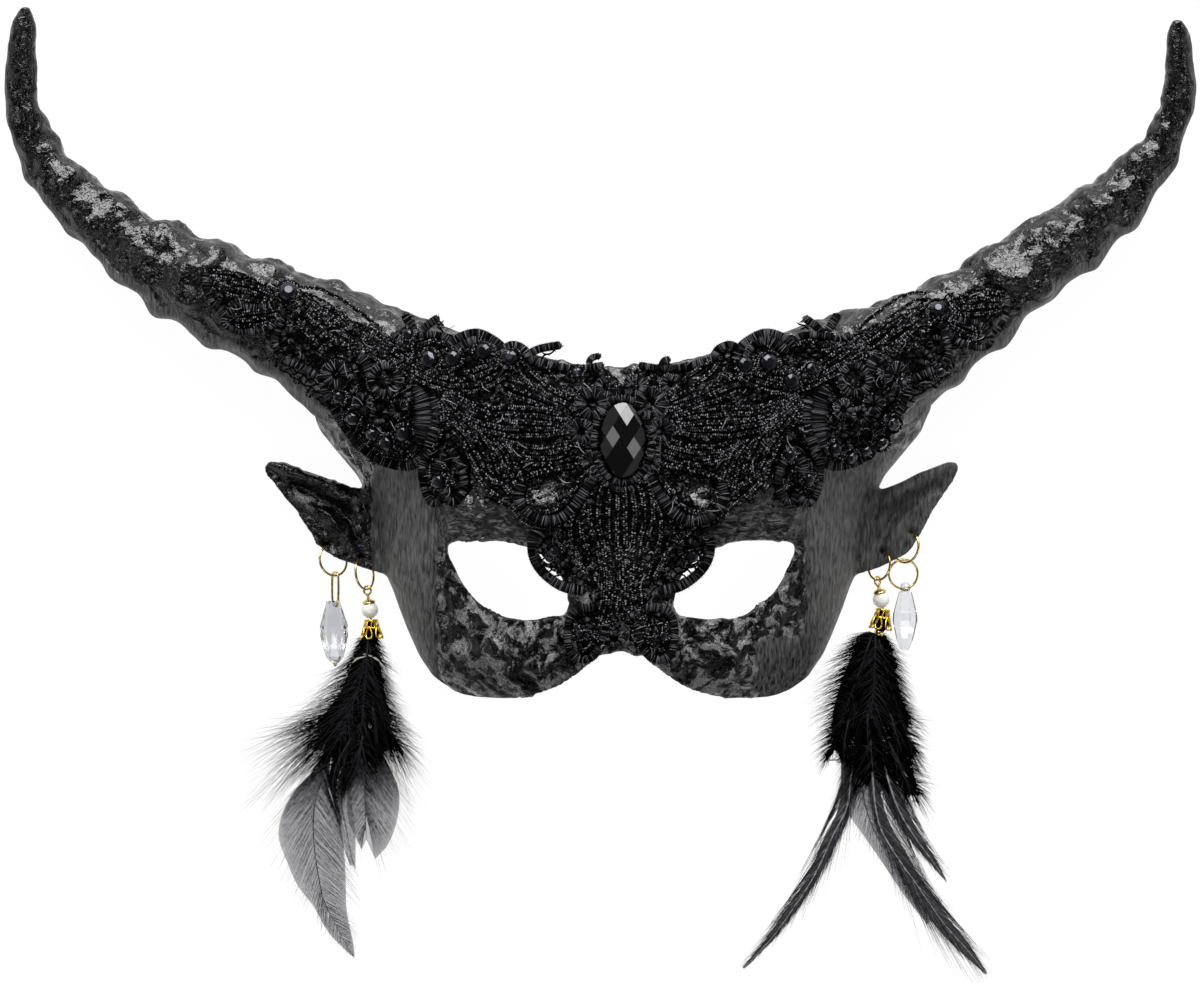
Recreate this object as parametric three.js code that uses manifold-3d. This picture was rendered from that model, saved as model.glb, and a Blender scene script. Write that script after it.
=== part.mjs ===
// Devil half mask: a black moulded half mask with horns and pointed ears, a lace applique with
// rhinestones glued over its forehead, a faceted centre stone, and pendants hung from its ears.
// It lies on its back edge, face up. Millimetres, +X and +Y across and up the face, +Z out of it.

import * as THREE from 'three';
import { ConvexGeometry } from 'three/addons/geometries/ConvexGeometry.js';
import { mergeVertices } from 'three/addons/utils/BufferGeometryUtils.js';
import Module from 'manifold-3d';

const wasm = await Module();
wasm.setup();

// Driving dimensions of the moulding
const WALL = 2.6;
const RIM = 1.5;
const TOP_HALF_WIDTH = 104;
const CAVITY_HALF_WIDTH = 86;
const OPEN_TOP_HALF_WIDTH = 52;
const HORN_FLATTENING = 0.85;
const HORN_RIDGE = 1.3;
const HORN_RIDGE_PITCH = 19;
const HORN_TIP_LIFT = 18;
const EAR_FLOOR = 4.6;
const EAR_SHEET = 1.9;
const LOBE_HEIGHT = EAR_FLOOR + EAR_SHEET / 2;

// How far a nearly flat patch of small facets may be from the larger facets that take its place
const FACET_SLACK = 0.14;

// Driving dimensions of the trimmings
const GAP = 0.35;
const LACE_THICKNESS = 1.3;
const LACE_CLEARANCE = 1.4;
const LACE_SPAN = { left: -140.8, right: 134.4, bottom: -57.6, top: 76.8, columns: 28, rows: 14 };
const GEM_CENTRE = [0.6, 16.9];
const GEM_HALF_WIDTH = 8;
const GEM_HALF_LENGTH = 12.6;
const GEM_HEIGHT = 6;
const GEM_GIRDLE = 1.2;
const RING_WIRE = 0.45;
const PIN_WIRE = 0.4;
const LINK_PLAY = 0.5;
const PEARL_RADIUS = 2.9;

// Materials
const finish = (colour, roughness, metalness = 0) =>
  new THREE.MeshStandardMaterial({ color: colour, roughness, metalness });
const blackLacquer = finish('#1b1b1c', 0.35);
const blackLace = finish('#141414', 0.9);
const blackStone = finish('#0c0c0d', 0.08);
const clearStone = finish('#c9cdd2', 0.1);
const goldWire = finish('#c99a4b', 0.3, 1);
const antiqueGold = finish('#b08a4c', 0.4, 1);
const pearlCoat = finish('#ece4d6', 0.25);
const clearGlass = finish('#dfe6ea', 0.05);
const blackFeather = finish('#161616', 0.8);

// A smooth curve through pairs of numbers, held level past both ends
function smoothCurve(pairs) {
  const spline = new THREE.CubicInterpolant(
    pairs.map((pair) => pair[0]), pairs.map((pair) => pair[1]), 1, new Float64Array(1));
  return (at) => spline.evaluate(at)[0];
}

const bump = (distance, width) => Math.exp(-((distance / width) ** 2));

// A closed geometry as a solid; one that a warp has mirrored has its faces turned to point out
function toSolid(geometry) {
  const bare = geometry.clone();
  bare.deleteAttribute('normal');
  bare.deleteAttribute('uv');
  const merged = mergeVertices(bare, 1e-4);
  const vertProperties = Float32Array.from(merged.attributes.position.array);
  const triVerts = Uint32Array.from(merged.index.array);
  const solid = new wasm.Manifold(new wasm.Mesh({ numProp: 3, vertProperties, triVerts }));
  if (solid.volume() > 0) {
    return solid;
  }
  return new wasm.Manifold(new wasm.Mesh({ numProp: 3, vertProperties, triVerts: triVerts.reverse() }));
}

function toGeometry(solid) {
  const mesh = solid.getMesh();
  const geometry = new THREE.BufferGeometry();
  geometry.setAttribute('position', new THREE.BufferAttribute(mesh.vertProperties, 3));
  geometry.setIndex(new THREE.BufferAttribute(mesh.triVerts, 1));
  return geometry;
}

const joined = (solids) => solids.reduce((whole, next) => whole.add(next));
const thinned = (solid) => solid.asOriginal().simplify(FACET_SLACK);

// Moves every vertex of a geometry to where place puts it
function warped(geometry, place) {
  const position = geometry.attributes.position;
  for (let i = 0; i < position.count; i += 1) {
    position.setXYZ(i, ...place(position.getX(i), position.getY(i), position.getZ(i)));
  }
  return geometry;
}

// A straight-sided solid over a smooth closed outline, mirrored to the other side on request
function prism(outline, bottom, top, side = 1, smooth = true) {
  const points = outline.map(([x, y]) => new THREE.Vector2(side * x, y));
  const closed = new THREE.CatmullRomCurve3(
    points.map((point) => new THREE.Vector3(point.x, point.y, 0)), true, 'centripetal');
  const rim = smooth ? closed.getPoints(Math.round(points.length * 1.5)).slice(0, -1) : points;
  const shape = new THREE.Shape(rim.map((point) => new THREE.Vector2(point.x, point.y)));
  const geometry = new THREE.ExtrudeGeometry(shape, { depth: top - bottom, bevelEnabled: false });
  return toSolid(geometry.translate(0, 0, bottom));
}

// The moulding: half width and edges of the face, how far it stands out, and its relief
const halfWidth = smoothCurve([
  [-70, 55], [-66.5, 57.8], [-63, 62.5], [-58, 66.8], [-53, 69], [-43, 73.5], [-33, 76.9],
  [-28, 79.6], [0, 86], [7, 90], [17, 99], [27, TOP_HALF_WIDTH], [60, TOP_HALF_WIDTH]]);
const lowerEdge = smoothCurve([
  [0, -53.1], [0.1, -54.4], [0.205, -60.1], [0.33, -64.5], [0.46, -67.2], [0.6, -68.8],
  [0.72, -69.2], [0.85, -69], [0.95, -67.8], [0.985, -65.8], [1, -62]]);
const upperEdge = smoothCurve([
  [0, 41.4], [0.13, 42], [0.32, 47.1], [0.5, 52.3], [0.6, 52.8], [0.72, 50], [0.85, 48.5], [1, 50]]);
const crown = smoothCurve([[-69, 46], [-53, 52], [-28, 54], [0, 57], [20, 58], [41, 55], [60, 50]]);
const EYE = [
  [58, -17.3], [50, -16.6], [40, -16.6], [33.5, -17.9], [28.5, -19.9], [23.5, -23.6], [19.4, -29.6],
  [17.8, -40.7], [23.5, -41.7], [30, -42.7], [37, -42.4], [42, -40.7], [47, -37.4], [51, -33.7],
  [54.3, -28.6], [57, -22.9]];

function relief(x, y) {
  const side = Math.abs(x);
  const along = THREE.MathUtils.smoothstep(-y, 12, 30);
  const nose = 10 * bump(x, 9) * along;
  const brow = 5 * bump(y + 7 - side * 0.06, 6.5) * bump(side - 31, 24);
  const socket = -6 * bump(side - 38, 18) * bump(y + 30, 11);
  const cheek = 3.5 * bump(side - 36, 16) * bump(y + 57, 9);
  return nose + brow + socket + cheek;
}

function faceHeight(x, y) {
  const across = Math.min(Math.abs(x) / halfWidth(y), 1);
  return RIM + crown(y) * (1 - across ** 2.6) ** 0.625 + relief(x, y);
}

// The block under the face, grown on request, and the hollow behind it
function faceBlock(extra = 0) {
  const block = new THREE.BoxGeometry(2, 1, 1, 28, 15, 1);
  return toSolid(warped(block, (a, b, c) => {
    const u = Math.sin(a * Math.PI / 2);
    const y = THREE.MathUtils.lerp(
      lowerEdge(Math.abs(u)) - extra, upperEdge(Math.abs(u)) + extra, b + 0.5);
    const top = faceHeight(u * halfWidth(y), y) + extra * 1.4;
    return [u * (halfWidth(y) + extra), y, c > 0 ? top : -extra];
  }));
}

function faceHollow() {
  const block = new THREE.BoxGeometry(2, 1, 1, 20, 11, 1);
  return toSolid(warped(block, (a, b, c) => {
    const u = Math.sin(a * Math.PI / 2);
    const aside = Math.abs(u) * CAVITY_HALF_WIDTH;
    const open = THREE.MathUtils.smoothstep(OPEN_TOP_HALF_WIDTH - aside, 0, 4);
    const top = upperEdge(aside / TOP_HALF_WIDTH) - WALL - 1 + open * 14;
    const y = THREE.MathUtils.lerp(lowerEdge(Math.abs(u)) - 10, top, b + 0.5);
    const width = Math.min(halfWidth(y) - WALL, CAVITY_HALF_WIDTH);
    const height = RIM - WALL + crown(y) * (1 - Math.abs(u) ** 2.6) ** 0.625 + relief(u * width, y);
    return [u * width, y, c > 0 ? height : -5];
  }));
}

// Horns: the centre line and the radii of each, from the root to the tip
const HORN_LINES = {
  left: [
    [-60, 27.7], [-74, 35], [-83.5, 39.9], [-99, 49.6], [-107.5, 54], [-118, 58.8], [-127.6, 63.2],
    [-142.4, 70.6], [-156.1, 77.6], [-167.2, 85.2], [-179.4, 95.2], [-190.2, 105.8], [-198.6, 120.6],
    [-201.4, 135.3], [-201.2, 147], [-199.6, 163]],
  right: [
    [60, 28], [74, 34.6], [85, 40.6], [97.5, 47.6], [108.5, 54.6], [120.3, 62.3], [129.5, 69.8],
    [138.7, 76.9], [146.2, 82], [155.4, 88.4], [163.5, 94.8], [174.2, 106], [182.4, 117],
    [187, 132.8], [187.7, 143], [186.4, 158.6]],
};
const HORN_RADII = {
  left: smoothCurve([
    [0, 26], [0.074, 25], [0.125, 23.4], [0.211, 21], [0.256, 19], [0.31, 17.9], [0.36, 17.4],
    [0.438, 16.4], [0.511, 14.2], [0.574, 12], [0.649, 10.6], [0.72, 9], [0.8, 7], [0.87, 5.7],
    [0.93, 5.2], [1, 4]]),
  right: smoothCurve([
    [0, 26], [0.08, 24.6], [0.144, 22.4], [0.217, 19.8], [0.284, 17.2], [0.357, 15.2], [0.418, 14.3],
    [0.478, 13.7], [0.524, 12.9], [0.582, 12.2], [0.635, 11], [0.715, 8.7], [0.785, 6.9], [0.87, 5.7],
    [0.93, 5.2], [1, 4]]),
};
const HORN_RINGS = 34;
const HORN_SIDES = 12;

function hornAxis(side) {
  return new THREE.CatmullRomCurve3(
    HORN_LINES[side].map(([x, y]) => new THREE.Vector3(x, y, 0)), false, 'centripetal');
}

const hornAxisHeight = (side, t) =>
  HORN_FLATTENING * HORN_RADII[side](t) + HORN_TIP_LIFT * (Math.max(t - 0.55, 0) / 0.45) ** 2;

function hornSolid(side, extra = 0) {
  const axis = hornAxis(side);
  const hand = side === 'left' ? 1 : -1;
  const tube = new THREE.CylinderGeometry(1, 1, 1, HORN_SIDES, HORN_RINGS);
  return toSolid(warped(tube, (a, b, c) => {
    const t = b + 0.5;
    const centre = axis.getPointAt(t);
    const along = axis.getTangentAt(t);
    const turn = Math.atan2(c, a);
    const reach = Math.hypot(a, c);
    const fade = THREE.MathUtils.smoothstep(t, 0.1, 0.3) * (1 - THREE.MathUtils.smoothstep(t, 0.7, 0.88));
    const phase = 2 * Math.PI * t * axis.getLength() / HORN_RIDGE_PITCH;
    const ridge = HORN_RIDGE * fade * Math.sin(phase + hand * turn);
    const round = Math.sqrt(1 - (Math.max(t - 0.97, 0) / 0.034) ** 2);
    const radius = reach * ((HORN_RADII[side](t) + ridge) * round + extra);
    const out = radius * Math.cos(turn);
    return [
      centre.x - along.y * out, centre.y + along.x * out,
      hornAxisHeight(side, t) + HORN_FLATTENING * radius * Math.sin(turn)];
  }));
}

// The height of the horn roots above a place on the face, for what is glued over them
function hornHeight(side, x, y) {
  const axis = hornAxis(side);
  let height = 0;
  for (let step = 0; step <= 20; step += 1) {
    const t = step * 0.02;
    const centre = axis.getPointAt(t);
    const reach = Math.hypot(x - centre.x, y - centre.y) / HORN_RADII[side](t);
    const rise = reach < 0.9 ? Math.sqrt(1 - reach ** 2) : 0.436 - 2.06 * (reach - 0.9);
    height = Math.max(height, hornAxisHeight(side, t) + HORN_FLATTENING * HORN_RADII[side](t) * rise);
  }
  return height;
}

const skinHeight = (x, y) => Math.max(faceHeight(x, y), hornHeight(x < 0 ? 'left' : 'right', x, y));

function skinNormal(x, y) {
  const step = 1.5;
  return new THREE.Vector3(
    (skinHeight(x - step, y) - skinHeight(x + step, y)) / (2 * step),
    (skinHeight(x, y - step) - skinHeight(x, y + step)) / (2 * step), 1).normalize();
}

// Ears: upper and lower edge of the left one, from the root to the blunt tip
const EAR_UPPER = [[79, -2], [86.8, 0.5], [93, 2.2], [105, 6.9], [115.9, 10.2], [119.5, 9.7]];
const EAR_LOWER = [
  [72, -30], [79.4, -28.3], [96.1, -22.9], [102.2, -17.9], [108.5, -7.9], [116.2, 1.2], [120, 7]];
const EAR_REACH = { left: 1, right: 0.82 };
const EAR_ROOT = 86;

function earSolid(side) {
  const upper = new THREE.SplineCurve(EAR_UPPER.map(([x, y]) => new THREE.Vector2(x, y)));
  const lower = new THREE.SplineCurve(EAR_LOWER.map(([x, y]) => new THREE.Vector2(x, y)));
  const sign = side === 'left' ? -1 : 1;
  const sheet = new THREE.BoxGeometry(1, 1, 1, 9, 8, 1);
  return toSolid(warped(sheet, (a, b, c) => {
    const out = a + 0.5;
    const up = b + 0.5;
    const place = lower.getPoint(out).lerp(upper.getPoint(out), up);
    const x = place.x > EAR_ROOT ? EAR_ROOT + (place.x - EAR_ROOT) * EAR_REACH[side] : place.x;
    const roll = 4.5 * bump(up - 0.88, 0.13) * (1 - 0.5 * out);
    const bowl = 2.5 * bump(up - 0.42, 0.15) * bump(out - 0.32, 0.26);
    const lift = 2.5 * out;
    return [sign * x, place.y, EAR_FLOOR + lift + (c > 0 ? EAR_SHEET + roll + bowl : 0)];
  }));
}

const outerMask = (extra) => joined([
  faceBlock(extra), hornSolid('left', extra), hornSolid('right', extra)]);

function maskShell(channels) {
  const floor = toSolid(new THREE.BoxGeometry(600, 600, 60).translate(0, 0, -30));
  const eyes = joined([prism(EYE, -10, 90), prism(EYE, -10, 90, -1)]);
  return joined([outerMask(0), earSolid('left'), earSolid('right')])
    .subtract(faceHollow()).subtract(eyes).subtract(floor).subtract(channels);
}

// The lace: half of its outline, from the middle of the forehead out to the horn and back below
const LACE_OUTLINE = [
  [0, 35.7], [4.5, 36.3], [6.2, 40.4], [14, 41.4], [33, 45.8], [54, 51.4], [61, 53.6], [68, 52.4],
  [72.5, 47.6], [79, 49.5], [97.5, 62.6], [107.5, 67], [124.3, 72.8], [132.7, 74.6], [138.2, 72.6],
  [132, 58.6], [129.6, 53.6], [120.3, 53.1], [117.2, 50], [118.3, 46], [116.2, 41], [107, 35.6],
  [99.2, 26.6], [90.1, 15.2], [84.1, 10.6], [77.4, 7.5], [72.4, 7.2], [68, 9.5], [65.8, 8],
  [66.4, 3], [66, -1], [63.6, -4], [59.6, -4.8], [56, -2.5], [54.6, 3], [50.6, 7.2], [46.6, 6.6],
  [45.2, 2.2], [45.6, -2.2], [42.2, -4.5], [33.8, -7.9], [27.6, -12.8], [29.8, -19.9], [28.6, -23.3],
  [24.8, -28.3], [19.4, -31.7], [11.4, -32.5], [9.4, -35], [16, -40.4], [17.3, -43.4], [16.1, -52.6],
  [13.3, -55.4], [10.3, -55], [6.6, -52.8], [0, -51.6]];
const LACE_WINDOWS = [
  [[32, -1], [29, -4.5], [25.5, -4.5], [22, -1], [19.5, 4], [22, 5.5], [26, 3], [30, 1.5]],
  [[27.8, 38], [25.2, 38.7], [17.4, 31], [19.2, 28.8], [25.2, 33]],
  [[36.6, 38.2], [31.2, 38.6], [29.8, 35.2], [35, 33.2]],
  [[79.2, 41], [82.2, 38], [79.2, 35], [76.2, 38]],
  [[97, 37], [99.4, 35.4], [97.4, 33], [95, 34.6]]];
const LACE_TABS = {
  left: [
    [[31, 44.6], [20, 51], [18.6, 48.8], [24, 43.2]],
    [[64, 52], [60.4, 59.2], [58, 57.4], [60, 51.4]],
    [[72, 50.5], [72.4, 58.8], [69, 59.2], [67, 52]]],
  right: [
    [[18, 41], [15.6, 45.4], [12.4, 44.6], [12, 40]],
    [[64, 52], [60.4, 59.2], [58, 57.4], [60, 51.4]],
    [[72, 50.5], [72.4, 58.8], [69, 59.2], [67, 52]]],
};

// The right half reaches less far out along its horn than the left half does
function laceSide(side, points) {
  return points.map(([x, y]) => {
    const beyond = Math.max(x - 74, 0);
    return side < 0 ? [x, y] : [x - 0.15 * beyond, y - 8 * (beyond / 64.7) ** 2];
  });
}

function laceHalf(side) {
  const tall = (points, smooth) => prism(laceSide(side, points), -5, 95, side, smooth);
  const outline = [[-0.5, LACE_OUTLINE[0][1]], ...LACE_OUTLINE, [-0.5, LACE_OUTLINE.at(-1)[1]]];
  const tabs = LACE_TABS[side < 0 ? 'left' : 'right'].map((points) => tall(points, false));
  const body = joined([tall(outline, false), ...tabs]);
  return body.subtract(joined(LACE_WINDOWS.map((points) => tall(points, false))));
}

// A corner of the net of flat facets that the lace is made of, at so many steps across and up
function laceCorner(across, up, lift) {
  const x = THREE.MathUtils.lerp(LACE_SPAN.left, LACE_SPAN.right, across / LACE_SPAN.columns);
  const y = THREE.MathUtils.lerp(LACE_SPAN.bottom, LACE_SPAN.top, up / LACE_SPAN.rows);
  return [x, y, skinHeight(x, y) + lift / skinNormal(x, y).z];
}

function laceSlab() {
  const { columns, rows } = LACE_SPAN;
  const sheet = new THREE.BoxGeometry(columns, rows, 1, columns, rows, 1);
  return toSolid(warped(sheet, (a, b, c) => laceCorner(
    Math.round(a + columns / 2), Math.round(b + rows / 2),
    c > 0 ? LACE_CLEARANCE + LACE_THICKNESS : LACE_CLEARANCE)));
}

// The height of the lace's upper facets above a place on the face
function laceTop(x, y) {
  const { left, right, bottom, top, columns, rows } = LACE_SPAN;
  const across = (x - left) / (right - left) * columns;
  const up = (y - bottom) / (top - bottom) * rows;
  const [i, j] = [Math.floor(across), Math.floor(up)];
  const [s, t] = [across - i, up - j];
  const corner = (di, dj) => laceCorner(i + di, j + dj, LACE_CLEARANCE + LACE_THICKNESS)[2];
  const [low, high] = [corner(0, 0), corner(1, 1)];
  return t > s
    ? low + t * (corner(0, 1) - low) + s * (high - corner(0, 1))
    : low + s * (corner(1, 0) - low) + t * (high - corner(1, 0));
}

function gemOutline(margin) {
  const turn = Array.from({ length: 32 }, (_, i) => i * Math.PI / 16);
  return turn.map((angle) => [
    (GEM_HALF_WIDTH + margin) * Math.sin(angle) * (1 - 0.06 * Math.cos(angle) ** 4),
    (GEM_HALF_LENGTH + margin) * Math.cos(angle)]);
}

function laceApplique() {
  const [x, y] = GEM_CENTRE;
  const gemHole = prism(gemOutline(GAP), -5, 95, 1, false).translate([x, y, 0]);
  return laceSlab().intersect(joined([laceHalf(-1), laceHalf(1)]))
    .subtract(gemHole).subtract(outerMask(1.3 * GAP));
}

// The centre stone: a dome of flat diamond facets, each of them touching one smooth paraboloid
const GEM_FACET = 0.29;

function gemSolid() {
  const dome = GEM_HEIGHT - GEM_GIRDLE;
  const corners = [];
  for (let row = -6; row <= 6; row += 1) {
    for (let column = -6; column <= 6; column += 1) {
      const x = (row - column) * GEM_FACET + 0.16;
      const y = (row + column + 1) * GEM_FACET + 0.1;
      const height = GEM_HEIGHT - dome * (x * x + y * y - GEM_FACET ** 2);
      corners.push(new THREE.Vector3(x * GEM_HALF_WIDTH, y * GEM_HALF_LENGTH, height));
    }
  }
  const facets = toSolid(new ConvexGeometry(corners));
  return facets.intersect(prism(gemOutline(0), 0, 30, 1, false));
}

// Rhinestones: where each is, and its radius
const STONES = [
  [-111.3, 66.1, 3.3], [-70.7, 52.4, 1.7], [-63.8, 43.9, 3], [-55.9, 44.2, 2.7], [-45.7, 46.6, 2.7],
  [-36.9, 44.4, 2.7], [-93.9, 31.6, 2], [-89.4, 24.7, 2.3], [-82.9, 19.3, 2.3], [-77.8, 16.5, 2.5],
  [-72.4, 19.3, 2.5], [-60.4, 3.3, 2.3], [-14.7, 39.4, 1.7], [-21.9, -19.6, 2], [23.5, -21.6, 2],
  [2.5, -40.8, 1.5], [-13.4, -47, 1.3], [13.7, -47.7, 1.3], [41.2, 42.1, 2.7], [49, 42.8, 3],
  [56.5, 36.7, 2.7], [63, 40.8, 2], [105.8, 60.6, 2.7], [90.4, 23, 2.4], [86.6, 16.9, 2.3],
  [81.6, 13.8, 2.2], [76.6, 11.6, 2.2], [71.2, 14.2, 2.3], [55.9, 12.1, 1.7], [62.3, 4.2, 2],
  [93.8, 36.7, 1.5], [106.8, 40.1, 1.5]];

// Turns a mesh to stand on a surface, its base clear of what lies under it
function seat(mesh, surface, x, y, radius) {
  const normal = skinNormal(x, y);
  const centre = new THREE.Vector3(x, y, surface(x, y));
  let lift = 0;
  for (let i = 0; i < 24; i += 1) {
    const reach = i % 2 ? radius * 1.1 : radius / 2;
    const [dx, dy] = [reach * Math.cos(i * Math.PI / 12), reach * Math.sin(i * Math.PI / 12)];
    const under = new THREE.Vector3(x + dx, y + dy, surface(x + dx, y + dy));
    lift = Math.max(lift, under.sub(centre).dot(normal));
  }
  mesh.quaternion.setFromUnitVectors(new THREE.Vector3(0, 0, 1), normal);
  mesh.position.copy(centre.addScaledVector(normal, lift + GAP));
  return mesh;
}

// Things turned on a lathe, in the plane of their axis; the axis then points along +Y
const turned = (outline, sides) =>
  new THREE.LatheGeometry(outline.map(([r, h]) => new THREE.Vector2(r, h)), sides);

function rhinestone([x, y, radius], index) {
  const height = radius * 0.62;
  const dome = turned([[0, 0], [radius, 0], [radius * 0.62, height], [0, height]], 7);
  const mesh = new THREE.Mesh(toGeometry(toSolid(dome.rotateX(Math.PI / 2))), clearStone);
  mesh.name = `rhinestone_${String(index + 1).padStart(2, '0')}`;
  return seat(mesh, laceTop, x, y, radius);
}

const vector = (place) => new THREE.Vector3(...place);

// Wire rings: each is turned by its tilt about the line from its middle to where it hangs from
function ringAxes({ centre, hangsFrom, tilt }) {
  const up = vector(hangsFrom).sub(vector(centre)).normalize();
  const level = new THREE.Vector3(0, 0, 1).projectOnPlane(up).normalize();
  const normal = level.applyAxisAngle(up, THREE.MathUtils.degToRad(tilt));
  return { aside: new THREE.Vector3().crossVectors(up, normal), up, normal };
}

function wireRing(ring, extra = 0) {
  const stretch = ring.stretch ?? 0;
  const { aside, up, normal } = ringAxes(ring);
  const wire = (ring.wire ?? RING_WIRE) + extra;
  const torus = warped(new THREE.TorusGeometry(ring.radius, wire, 5, ring.radius > 2 ? 14 : 10),
    (x, y, z) => [x, y + Math.sign(Math.round(y * 10)) * stretch, z]);
  torus.applyMatrix4(new THREE.Matrix4().makeBasis(aside, up, normal));
  return toSolid(torus.translate(...ring.centre));
}

// A ring of a given size that hangs in another, in a given heading
function linked(above, heading, size) {
  const { normal } = ringAxes(above);
  const down = vector(heading).normalize();
  const contact = vector(above.centre).addScaledVector(
    down.clone().projectOnPlane(normal).normalize(), above.radius);
  const reach = size.radius + (size.stretch ?? 0) - RING_WIRE - (size.wire ?? RING_WIRE) - LINK_PLAY;
  return {
    ...size, hangsFrom: contact.toArray(), centre: contact.clone().addScaledVector(down, reach).toArray() };
}

const ringDownFrom = (hole, centre, radius, tilt) => ({
  centre: [...centre, LOBE_HEIGHT - 0.1], hangsFrom: [...hole, LOBE_HEIGHT], radius, tilt });

const leftOuterRing = ringDownFrom([-99.2, -17.9], [-96.9, -23.2], 5.4, 34);
const leftInnerRing = ringDownFrom([-87.2, -22], [-86.3, -27.6], 5.6, 58);
const rightOuterRing = ringDownFrom([97.6, -13.4], [96.1, -18.8], 5.4, -41);
const rightInnerRing = ringDownFrom([88.1, -19.9], [87, -24.9], 5.1, -45);
const leftBail = linked(leftOuterRing, [0, -1, -0.06], { radius: 2.1, stretch: 3.6, tilt: -57 });
const rightLowerRing = linked(rightOuterRing, [-0.04, -1, -0.06], { radius: 5.1, tilt: 10 });

const CHANNELLED = [leftOuterRing, leftInnerRing, rightOuterRing, rightInnerRing, rightLowerRing];

// Lays a thing that was turned on a lathe between two places, its foot at the first
function laid(geometry, from, to) {
  const along = vector(to).sub(vector(from)).normalize();
  const turn = new THREE.Quaternion().setFromUnitVectors(new THREE.Vector3(0, 1, 0), along);
  return toSolid(geometry.applyQuaternion(turn).translate(...from));
}

// Clear drops: eight flat sides, a narrow head that the wire runs through, and a point below
function crystalDrop(head, point, width, ring) {
  const length = vector(head).distanceTo(vector(point));
  const outline = [
    [0, 0], [width * 0.12, 0.4], [width * 0.5, length * 0.52], [width * 0.22, length - 2.4],
    [width * 0.17, length], [0, length]];
  const pivot = laid(turned(outline, 8).rotateY(Math.PI / 8), point, head);
  return pivot.subtract(wireRing(ring, GAP));
}

// Pendants with a pearl: a pin with a loop, a pearl under a small cap, and a filigree bell
const PENDANTS = {
  left: {
    ring: leftInnerRing, heading: [0.05, -1, -0.1], loopTilt: -32,
    bellTop: [-84.1, -43.2, 3.9], bellMouth: [-83.9, -48.8, 3.85], feather: [-84, -53, 3.8] },
  right: {
    ring: rightInnerRing, heading: [0.05, -1, -0.1], loopTilt: 50,
    bellTop: [88.3, -39.6, 3.9], bellMouth: [87.4, -45.6, 3.85], feather: [86.2, -51, 3.8] },
};
const LOOP_RADIUS = 1.5;
const BORE = PIN_WIRE + GAP;

// The pin's loop, and the straight line of its shaft down into the bell
const pinLoop = ({ ring, heading, loopTilt }) => linked(
  ring, heading, { radius: LOOP_RADIUS, tilt: loopTilt, wire: PIN_WIRE });

function pinLine(pendant) {
  const end = vector(pendant.bellTop);
  const loop = vector(pinLoop(pendant).centre);
  const down = end.clone().sub(loop).normalize();
  return { start: loop.addScaledVector(down, LOOP_RADIUS), down, end };
}

function eyePin(pendant) {
  const { start, down, end } = pinLine(pendant);
  const foot = end.clone().addScaledVector(down, 1.5);
  const shaft = turned([[0, 0], [PIN_WIRE, 0], [PIN_WIRE, start.distanceTo(foot)],
    [0, start.distanceTo(foot)]], 6);
  return wireRing(pinLoop(pendant)).add(laid(shaft, start.toArray(), foot.toArray()));
}

// The pearl sits on the pin just above the bell
function pearlCentre(pendant) {
  const { down, end } = pinLine(pendant);
  return end.clone().addScaledVector(down, -PEARL_RADIUS - 1.5 * GAP);
}

function pearlBead(pendant) {
  const rows = 6;
  const edge = Math.asin(BORE / PEARL_RADIUS);
  const outline = Array.from({ length: rows + 1 }, (_, i) => {
    const angle = THREE.MathUtils.lerp(edge, Math.PI - edge, i / rows);
    return [PEARL_RADIUS * Math.sin(angle), -PEARL_RADIUS * Math.cos(angle)];
  });
  return laid(turned([...outline, outline[0]], 8), pearlCentre(pendant).toArray(), pendant.bellTop);
}

// A thin bell round a pin: open below, bored above
function bell(top, mouth, height, topRadius, mouthRadius, sides) {
  const sheet = 0.5;
  const bore = BORE + GAP;
  const outline = [
    [bore, 0], [topRadius, 0], [(topRadius + mouthRadius) * 0.54, height * 0.4], [mouthRadius, height],
    [mouthRadius - sheet, height], [(topRadius + mouthRadius) * 0.54 - sheet, height * 0.42],
    [topRadius - sheet, sheet], [bore, sheet], [bore, 0]];
  return laid(turned(outline, sides), top, mouth);
}

// A small dished cap on top of the pearl
function pearlCap(pendant) {
  const { down } = pinLine(pendant);
  const centre = pearlCentre(pendant);
  const inner = PEARL_RADIUS + GAP;
  const dish = (radius, angles) => angles.map((a) => [radius * Math.sin(a), radius * Math.cos(a)]);
  const hole = Math.asin(BORE / inner);
  const outline = [
    ...dish(inner, [hole, 0.5, 0.8]), ...dish(inner + 0.5, [0.8, 0.5]), [BORE, inner + 0.5],
    ...dish(inner, [hole])];
  return laid(turned(outline, 8), centre.toArray(), centre.clone().sub(down).toArray());
}

const filigreeBell = ({ bellTop, bellMouth }) => bell(
  bellTop, bellMouth, vector(bellTop).distanceTo(vector(bellMouth)), 1.9, 3.7, 8);

function crimpRing() {
  const outline = [[1.1, -0.8], [1.7, -0.8], [1.7, 0.8], [1.1, 0.8], [1.1, -0.8]];
  const { bellMouth, feather } = PENDANTS.right;
  const middle = vector(bellMouth).lerp(vector(feather), 0.4).toArray();
  return laid(turned(outline, 8), middle, feather);
}

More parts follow.
